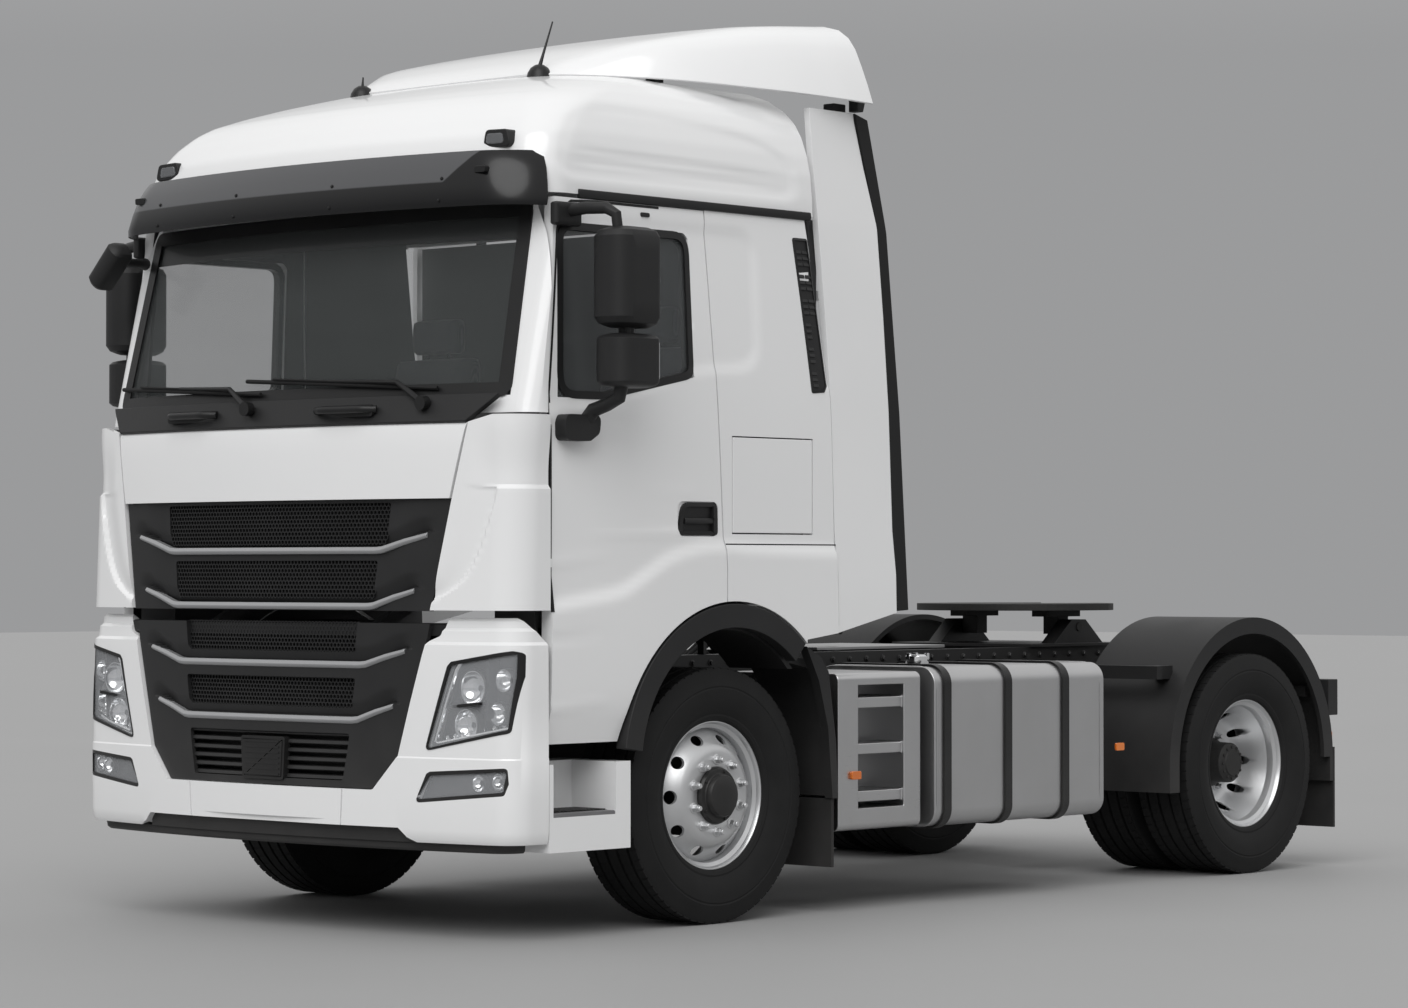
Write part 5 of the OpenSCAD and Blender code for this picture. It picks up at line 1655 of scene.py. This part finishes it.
# rim section: outer lip, well, inner lip, as (radius, along) with the outside at +
RIM_SECTION = [(0.2975, 0.109), (0.2965, 0.1145), (0.290, 0.1155), (0.2865, 0.112), (0.282, 0.098),
               (0.268, 0.088), (0.2645, 0.070), (0.2645, -0.07), (0.280, -0.095), (0.286, -0.1145),
               (0.2975, -0.1145), (0.2975, -0.109), (0.290, -0.092), (0.276, -0.066), (0.276, 0.066),
               (0.290, 0.092)]


def outward(section, sign):
    """A (radius, along) section with its + side turned to the truck's left or right."""
    return [(r, a * sign) for r, a in section]


def disc_profile(face, sign):
    """A pressed wheel disc: its outer face and the same face further in."""
    return outward(face + [(r, a - DISC_THICK) for r, a in face[::-1]], sign)


def front_wheel(side, s):
    body = f"front_{side}_wheel"
    x, y = s * TYRE_X, 0.0
    tyre = Shape()
    tyre_shape(tyre, x, y)
    piece(f"front_{side}_tyre_made", tyre, body, TYRE, (f"front_{side}_tyre",), angle=24.0)
    spread(f"front_{side}_tread", tread_spots(x, y), tread_block(), body, TYRE)
    rim = Shape()
    rim.lathe(outward(RIM_SECTION, s), (x, y, HUB_Z), "x", 120)
    metal = set_down(f"front_{side}_rim_made", rim)
    disc = Shape()
    face = [(0.268, 0.050), (0.262, 0.062), (0.245, 0.078), (0.222, 0.102), (0.203, 0.121),
            (0.188, 0.1325), (0.170, 0.137), (0.118, 0.137), (0.112, 0.134)]
    disc.lathe(disc_profile(face, s), (x, y, HUB_Z), "x", 120)
    plate = set_down(f"front_{side}_disc", disc)
    holes = Shape()
    for t in turns(STUDS, 0.5):
        c, n = math.cos(t), math.sin(t)
        oval = []
        for a in turns(20):
            u, r = 0.0275 * math.cos(a), 0.2275 + 0.019 * math.sin(a)
            oval.append((y + n * r + c * u, HUB_Z + c * r - n * u))
        holes.prism(oval, "x", x + s * 0.03, x + s * 0.16)
    carved(plate, holes)
    fit(metal, body, RIM, (f"front_{side}_rim",), 0.0, 28.0)
    fit(plate, body, RIM, (), 0.0018, 32.0)
    set_nuts(f"front_{side}_nuts", x + s * 0.137, y, s, body)
    hub = Shape()
    section = [(0.1115, -0.036), (0.1115, 0.143), (0.105, 0.152), (0.090, 0.154), (0.086, 0.158),
               (0.086, 0.168), (0.079, 0.180), (0.060, 0.186), (0.030, 0.188), (0.0, 0.1885)]
    hub.lathe(outward(section, s), (x, y, HUB_Z), "x", 64, loop=False)
    for v, w in on_wheel(5, 0.098, y, 0.25):
        hub.disc((x + s * 0.152, v, w), 0.006, 0.006 * s, "x", 12, 0.001)
    piece(f"front_{side}_hub", hub, body, SATIN, edge=0.001)
    bead = Shape()
    section = [(0.2995, 0.1085), (0.2995, 0.1135), (0.309, 0.1155), (0.315, 0.1135), (0.312, 0.1085)]
    bead.lathe(outward(section, s), (x, y, HUB_Z), "x", 96)
    piece(f"front_{side}_bead_ring", bead, body, TYRE, angle=40.0)


def rear_wheels(side, s):
    body = f"rear_{side}_wheels"
    tyre, rim, hub = Shape(), Shape(), Shape()
    spots = []
    inner, outer = TWIN_X - TWIN_HALF, TWIN_X + TWIN_HALF
    for at, out in ((inner, -1), (outer, 1)):
        x = s * at
        tyre_shape(tyre, x, REAR)
        spots += tread_spots(x, REAR)
        rim.lathe(outward(RIM_SECTION, s * out), (x, REAR, HUB_Z), "x", 96)
    piece(f"rear_{side}_tyres_made", tyre, body, TYRE, (f"rear_{side}_tyres",), angle=24.0)
    spread(f"rear_{side}_tread", spots, tread_block(), body, TYRE)
    x = s * outer
    face = [(0.268, 0.066), (0.262, 0.050), (0.250, 0.020), (0.236, -0.020), (0.222, -0.062),
            (0.205, -0.090), (0.190, -0.103), (0.172, -0.107), (0.118, -0.107), (0.112, -0.109)]
    disc = Shape()
    disc.lathe(disc_profile(face, s), (x, REAR, HUB_Z), "x", 96)
    plate = set_down(f"rear_{side}_disc", disc)
    holes = Shape()
    for cy, cz in on_wheel(STUDS, 0.218, REAR, 0.5):
        holes.prism([(cy + 0.021 * math.cos(a), cz + 0.021 * math.sin(a)) for a in turns(20)], "x",
                    x + s * 0.02, x - s * 0.14)
    carved(plate, holes)
    fit(plate, body, RIM, (), 0.0, 32.0)
    piece(f"rear_{side}_rims_made", rim, body, RIM, (f"rear_{side}_rims",), angle=28.0)
    set_nuts(f"rear_{side}_nuts", x - s * 0.107, REAR, s, body)
    section = [(0.1115, -0.30), (0.1115, -0.070), (0.102, -0.060), (0.094, -0.056), (0.092, 0.030),
               (0.080, 0.040), (0.062, 0.044), (0.058, 0.050), (0.0, 0.052)]
    hub.lathe(outward(section, s), (x, REAR, HUB_Z), "x", 64, loop=False)
    for v, w in on_wheel(12, 0.073, REAR):
        hub.disc((x + s * 0.039, v, w), 0.0075, 0.008 * s, "x", 12, 0.001)
    piece(f"rear_{side}_hubs", hub, body, CAST, edge=0.0015)


def make_wheels():
    for side, s in HANDS.items():
        front_wheel(side, s)
        rear_wheels(side, s)


# ---------- chassis ----------
def make_chassis():
    """CAD nodes that keep their own shape: rounded edges and a finish."""
    for node, finish, edge in (
            ("ladder_frame", CHASSIS, 0.003), ("front_axle", CAST, 0.004), ("rear_axle", CAST, 0.004),
            ("springs", CHASSIS, 0.002), ("engine", CAST, 0.006), ("entry_steps", WHITE, 0.006),
            ("mudguards", PLASTIC, 0.003), ("fuel_tank", TANK, 0.004), ("step_tank", STEP_METAL, 0.005),
            ("exhaust_box", BOX_METAL, 0.006), ("air_tanks", CHASSIS, 0.004),
            ("fifth_wheel_base", CHASSIS, 0.003),
            ("mud_flaps", FLAP, 0.002), ("fifth_wheel_plate", CAST, 0.003), ("cab_shell", TRIM, 0.003),
            ("arch_trims", PLASTIC, 0.004), ("side_deflectors", WHITE, 0.006),
            ("deflector_edges", FLAP, 0.003),
            ("dashboard", TRIM, 0.006), ("left_knuckle", CAST, 0.003), ("right_knuckle", CAST, 0.003),
            ("tie_rod", CAST, 0.002)):
        worked(node, finish, edge)
    worked("tank_straps", SATIN, 0.0015, "chassis_paint")
    worked("tail_lamps", PLASTIC, 0.004, "red_lens")


def make_frame_details():
    """Bolt rows of the rails, air lines and their stand, and the catwalk."""
    spots = []
    for s in SIDES:
        turn = (0.0, 0.0, 0.0 if s > 0 else math.pi)
        for k in range(64):
            y = 0.70 + 0.0575 * k
            spots.append(((s * 0.4004, y, 0.815), turn, 0.9))
            if k % 2 == 0:
                spots.append(((s * 0.4004, y, 1.005), turn, 0.9))
    spread("frame_bolts", spots, bolt_head(), "chassis", CHASSIS)
    # air and electric lines along the left rail and up behind the cab
    lines = Shape()
    for k, r in enumerate((0.012, 0.009, 0.009, 0.014)):
        z = 0.935 - 0.026 * k
        path = [(0.415 + 0.006 * (k % 2), 2.55 + 0.10 * j, z + 0.010 * math.sin(1.3 * j + k))
                for j in range(16)]
        lines.tube(path, r, 10)
    for k, x in enumerate((-0.30, -0.24, -0.18, 0.16, 0.22)):
        path = []
        for j in range(25):
            t = j / 24
            sag = 0.27 * math.sin(math.pi * min(1, t * 1.2)) ** 2
            path.append((x * (1 - 0.3 * t) + 0.03 * math.sin(5 * t + k), 0.80 + 1.15 * t ** 1.2,
                         1.36 - sag - 0.24 * t))
        lines.tube(path, 0.011, 10)
    piece("air_lines", lines, "chassis", FLAP)
    # the stand that holds the hoses' front ends when the cab tilts away
    stand = Shape().box((-0.37, 0.805, 1.345), (0.37, 0.825, 1.380))
    for s in SIDES:
        stand.box((s * 0.335, 0.805, 1.035), (s * 0.37, 0.825, 1.350))
    piece("hose_stand", stand, "chassis", CHASSIS, edge=0.002)
    # catwalk of slotted plate between the rails behind the cab
    walk = set_down("catwalk_plate", Shape().box((-0.31, 1.62, 1.045), (0.31, 2.52, 1.058)))
    slots = Shape()
    for i in range(7):
        for j in range(12):
            x, y = -0.255 + 0.085 * i, 1.675 + 0.072 * j
            slots.prism(rounded(oblong(x, y, 0.027, 0.009), 0.008, 3), "z", 1.03, 1.07)
    carved(walk, slots)
    fit(walk, "chassis", BOX_METAL, (), 0.0015, 30.0)
    posts = Shape()
    for x in (-0.36, 0.36):
        for y in (1.70, 2.42):
            posts.box((x, y - 0.02, 1.040), (x * 0.80, y + 0.02, 1.0455))
    piece("catwalk_feet", posts, "chassis", CHASSIS, edge=0.001)


def make_tank_details():
    """Filler neck and cap with three lugs, weld beads at the tank's ends, side markers."""
    cap = Shape()
    cap.lathe([(0.060, -0.03), (0.060, 0.006), (0.052, 0.012)], (1.02, 1.44, 0.988), "z", 40, loop=False)
    cap.lathe([(0.048, 0.0), (0.050, 0.018), (0.050, 0.036), (0.044, 0.044), (0.0, 0.046)],
              (1.02, 1.44, 0.996), "z", 40, loop=False)
    for turn in turns(3):
        x, y = 1.02 + 0.044 * math.cos(turn + 0.3), 1.44 + 0.044 * math.sin(turn + 0.3)
        cap.box((x - 0.008, y - 0.008, 1.020), (x + 0.008, y + 0.008, 1.046))
    piece("tank_filler_cap", cap, "chassis", CHROME, edge=0.001)
    beads = Shape()
    outline = rounded([(0.6, 0.322), (1.236, 0.322), (1.236, 0.992), (0.6, 0.992)], 0.105, 10)
    for y in (1.306, 2.452):
        rings = []
        for x, z in outline:
            cx, cz = 0.918, 0.657
            ux, uz = (x - cx) * 0.0016 / 0.33, (z - cz) * 0.0016 / 0.33
            rings.append([(x + ux, y - 0.006, z + uz), (x + 2.2 * ux, y, z + 2.2 * uz),
                          (x + ux, y + 0.006, z + uz), (x - 4 * ux, y, z - 4 * uz)])
        beads.loft(rings, loop=True)
    piece("tank_weld_beads", beads, "chassis", TANK, angle=50.0)
    marker = Shape()
    for s in SIDES:
        marker.prism(rounded([(0.78, 0.540), (0.838, 0.540), (0.838, 0.574), (0.78, 0.574)], 0.008), "x",
                     s * 1.200, s * 1.214)
        for y in (2.56, 4.23):
            marker.prism(rounded([(y, 0.60), (y + 0.06, 0.60), (y + 0.06, 0.634), (y, 0.634)], 0.008), "x",
                         s * 1.236, s * 1.247)
    piece("side_markers", marker, "chassis", AMBER, edge=0.002)


def make_step_details():
    lips, treads = Shape(), Shape()
    for s in SIDES:
        lip = rounded([(-1.003, 0.483), (-1.003, 0.458), (-0.668, 0.458), (-0.668, 0.483)], 0.008, 4)
        lips.prism(lip, "x", s * 1.205, s * 1.2445)
        treads.box((s * 1.02, -1.000, 0.480), (s * 1.204, -0.672, 0.4835))
        for k in range(16):
            y = -0.99 + 0.0205 * k
            treads.box((s * 1.03, y, 0.4835), (s * 1.198, y + 0.009, 0.4875))
    piece("step_lips", lips, "chassis", GREY_PLASTIC, edge=0.003)
    piece("step_treads", treads, "chassis", SATIN, edge=0.001)


def make_tail_details():
    glass_parts, plates = Shape(), Shape()
    for s in SIDES:
        for x0, x1 in ((0.785, 0.90), (0.91, 1.00), (1.01, 1.11), (1.12, 1.222)):
            glass_parts.prism(rounded([(s * x0, 0.725), (s * x1, 0.725), (s * x1, 0.865), (s * x0, 0.865)],
                                      0.012), "y", 4.350, 4.3645)
        plates.box((s * 0.41, 4.30, 0.78), (s * 0.775, 4.325, 0.82))
    piece("tail_lamp_lenses", glass_parts, "chassis", RED, edge=0.003)
    piece("tail_lamp_arms", plates, "chassis", CHASSIS, edge=0.002)


# ---------- inside the cab ----------
def make_interior():
    wheel = Shape()
    rings = []
    for t in turns(72):
        centre = Vector((0.215 * math.cos(t), 0.215 * math.sin(t), 0))
        out = centre.normalized()
        rings.append([tuple(centre + out * (0.0155 * math.cos(a)) + Vector((0, 0, 0.0155 * math.sin(a))))
                      for a in turns(14)])
    wheel.loft(rings, loop=True)
    hub = rounded([(-0.075, -0.055), (0.075, -0.055), (0.075, 0.045), (-0.075, 0.045)], 0.03, 5)
    wheel.loft([[(x * f, y * f, z) for x, y in hub]
                for z, f in ((-0.05, 0.8), (-0.01, 1.0), (0.012, 1.0), (0.02, 0.9))])
    for angle in (0.15, math.pi - 0.15, -math.pi / 2):
        c, s = math.cos(angle), math.sin(angle)
        wheel.tube([(0.05 * c, 0.05 * s, -0.005), (0.13 * c, 0.13 * s, -0.008), (0.21 * c, 0.21 * s, 0)],
                   [0.02, 0.016, 0.012], 10)
    wheel.tube([(0, 0, -0.04), (0, 0, -0.24)], 0.035, 16)
    turn = Matrix.Rotation(math.radians(-35), 3, "X")
    wheel.verts = [tuple(turn @ Vector(v) + Vector((0.620, -0.520, 1.960))) for v in wheel.verts]
    piece("steering_wheel_made", wheel, "cab", SATIN, ("steering_wheel",), angle=40.0, slot="interior_trim")
    fascia, dials = Shape(), Shape()
    fascia.loft([[(x, y, z) for y, z in ((-0.985, 2.038), (-0.70, 2.038), (-0.655, 2.02), (-0.645, 1.99),
                                         (-0.99, 1.99))]
                 for x in spaced(1.10, -1.10, 20)])
    fascia.loft([[(0.62 + dx, y, z)
                  for dx, z in rounded([(-0.20, 1.995), (0.20, 1.995), (0.16, 2.075), (-0.16, 2.075)], 0.04,
                                       5)]
                 for y in (-0.90, -0.70)])
    for x in (0.53, 0.71):
        dials.lathe([(0.052, 0.0), (0.052, 0.006), (0.047, 0.003), (0.0, 0.003)], (x, -0.700, 2.03), "y",
                    32, loop=False)
    piece("dash_top", fascia, "cab", TRIM, edge=0.008)
    piece("dash_dials", dials, "cab", SATIN)


CUSHION_VOXEL = 0.015
CUSHION_SWELL = 0.012
CLOTH_PRESSURE = 4.0
CLOTH_STIFFNESS = 40.0
CLOTH_STEPS = 12


def cushion(name, low, high, shape_rule=None):
    """A block with rounded corners and drawn-in ends, before it is puffed."""
    (x0, y0, z0), (x1, y1, z1) = low, high
    span = min(x1 - x0, y1 - y0, z1 - z0)
    block = Shape()
    plan = rounded([(x0, y0), (x1, y0), (x1, y1), (x0, y1)], span * 0.42, 5)
    rings = []
    for f, inward in ((0.0, 0.16), (0.06, 0.06), (0.2, 0.0), (0.8, 0.0), (0.94, 0.06), (1.0, 0.16)):
        ring = inset(plan, inward * span)
        rings.append([(x, y, z0 + (z1 - z0) * f) for x, y in ring])
    block.loft(rings)
    if shape_rule:
        block.verts = [shape_rule(*v) for v in block.verts]
    return set_down(name, block)


def puffed(obj, low, high):
    """Inflates the cushion a little between its seams and keeps it inside its box."""
    remesh = obj.modifiers.new("remesh", "REMESH")
    remesh.mode = "VOXEL"
    remesh.voxel_size = CUSHION_VOXEL
    bake(obj)
    cloth = obj.modifiers.new("cloth", "CLOTH")
    cloth.settings.use_pressure = True
    cloth.settings.uniform_pressure_force = CLOTH_PRESSURE
    cloth.settings.effector_weights.gravity = 0.0
    cloth.settings.tension_stiffness = CLOTH_STIFFNESS
    cloth.settings.compression_stiffness = CLOTH_STIFFNESS
    scene = bpy.context.scene
    for step in range(1, CLOTH_STEPS + 1):
        scene.frame_set(step)
    start = np.array([v.co for v in obj.data.vertices])
    bake(obj)
    scene.frame_set(1)
    co = np.array([v.co for v in obj.data.vertices])
    co = start + np.clip(co - start, -CUSHION_SWELL, CUSHION_SWELL)
    axle = np.array([0.0, AXLE, 0.0])
    co = np.clip(co, axle + low, axle + high)
    obj.data.vertices.foreach_set("co", co.ravel())
    obj.data.update()
    return obj


def reclined(x, y, z):
    """Leans a seat back to the rear, more with its height."""
    return x, y + (z - 1.69) * 0.16, z


def make_seats():
    seat_parts = []
    stands = Shape()
    for x in (0.62, -0.62):
        low, high = (x - 0.255, -0.375, 1.562), (x + 0.255, 0.125, 1.688)
        seat_parts.append((cushion("seat_cushion", low, high), low, high))
        low, high = (x - 0.245, 0.055, 1.690), (x + 0.245, 0.165, 2.315)
        seat_parts.append((cushion("seat_back", low, high, reclined), low,
                           (high[0], 0.28, high[2])))
        low, high = (x - 0.14, 0.165, 2.325), (x + 0.14, 0.245, 2.472)
        seat_parts.append((cushion("seat_headrest", low, high), low, high))
        stands.box((x - 0.21, -0.33, 1.40), (x + 0.21, 0.08, 1.555))
        for post in (x - 0.06, x + 0.06):
            stands.tube([(post, 0.20, 2.28), (post, 0.205, 2.34)], 0.007, 8)
    base = puffed_join(seat_parts, "seats_padded")
    fit(base, "cab", CLOTH, ("seats",), angle=70.0)
    piece("seat_bases", stands, "cab", SATIN, edge=0.01, slot="interior_trim")
    low, high = (-1.075, 0.332, 1.502), (1.075, 0.588, 1.628)
    bunk = puffed_join([(cushion("bunk_cushion", low, high), low, high)], "bunk_padded")
    fit(bunk, "cab", CLOTH, ("bunk",), angle=70.0)


def puffed_join(parts, name):
    """Puffs each cushion and joins them into one object."""
    verts, faces = [], []
    for obj, low, high in parts:
        puffed(obj, low, high)
        start = len(verts)
        verts += [tuple(v.co) for v in obj.data.vertices]
        faces += [tuple(start + i for i in p.vertices) for p in obj.data.polygons]
        bpy.data.objects.remove(obj)
    mesh = bpy.data.meshes.new(name)
    mesh.from_pydata(verts, [], faces)
    return linked(name, mesh)


make_side_panels()
make_windows()
make_handles()
make_side_trim()
make_roof()
make_deflector()
make_visor()
make_antennas()
make_windscreen()
make_cowl()
make_wipers()
make_mirrors()
make_bumper()
make_lamps()
make_upper_grille()
make_lower_grille()
make_hood()
make_wheels()
make_chassis()
make_frame_details()
make_tank_details()
make_step_details()
make_tail_details()
make_interior()
make_seats()


# ---------- floor, camera and light ----------
FLOOR_HALF = 60


def make_stage():
    mesh = bpy.data.meshes.new("studio_floor")
    corners = [(x, y, 0) for x, y in oblong(0, 0, FLOOR_HALF, FLOOR_HALF)]
    mesh.from_pydata(corners, [], [(0, 1, 2, 3)])
    floor = linked("studio_floor", mesh)
    floor.data.materials.append(floor_grey())
    # a long lens, low down, off the truck's front left corner
    azimuth, elevation = math.radians(41.9986), math.radians(-0.968)
    level = math.cos(elevation)
    back = Vector((math.sin(azimuth) * level, -math.cos(azimuth) * level, math.sin(elevation)))
    lens = bpy.data.cameras.new("camera")
    lens.lens = 101.217
    lens.sensor_width = 36.0
    lens.clip_end = 500.0
    camera = linked("camera", lens)
    camera.location = (11.6096, -13.1952, 1.3947)
    camera.rotation_euler = (-back).to_track_quat("-Z", "Y").to_euler()
    bpy.context.scene.camera = camera
    # one wide sun from the front left, above the camera's shoulder
    lamp = bpy.data.lights.new("key", "SUN")
    lamp.energy = 1.7
    lamp.angle = math.radians(50)
    light = linked("key", lamp)
    light.rotation_euler = Vector((0.36, -0.60, 0.71)).to_track_quat("Z", "Y").to_euler()
    # soft grey room: even near the horizon, brighter overhead
    world = bpy.data.worlds.new("studio")
    world.use_nodes = True
    nodes, links = world.node_tree.nodes, world.node_tree.links
    spot, split = nodes.new("ShaderNodeTexCoord"), nodes.new("ShaderNodeSeparateXYZ")
    ramp = nodes.new("ShaderNodeValToRGB")
    stops = ramp.color_ramp.elements
    stops[0].position, stops[0].color = 0.13, (0.325, 0.327, 0.332, 1.0)
    stops[1].position, stops[1].color = 0.42, (0.74, 0.74, 0.74, 1.0)
    links.new(spot.outputs["Generated"], split.inputs["Vector"])
    links.new(split.outputs["Z"], ramp.inputs["Fac"])
    links.new(ramp.outputs["Color"], nodes["Background"].inputs["Color"])
    nodes["Background"].inputs["Strength"].default_value = 1.0
    bpy.context.scene.world = world
    bpy.context.scene.view_settings.view_transform = "Standard"


make_stage()
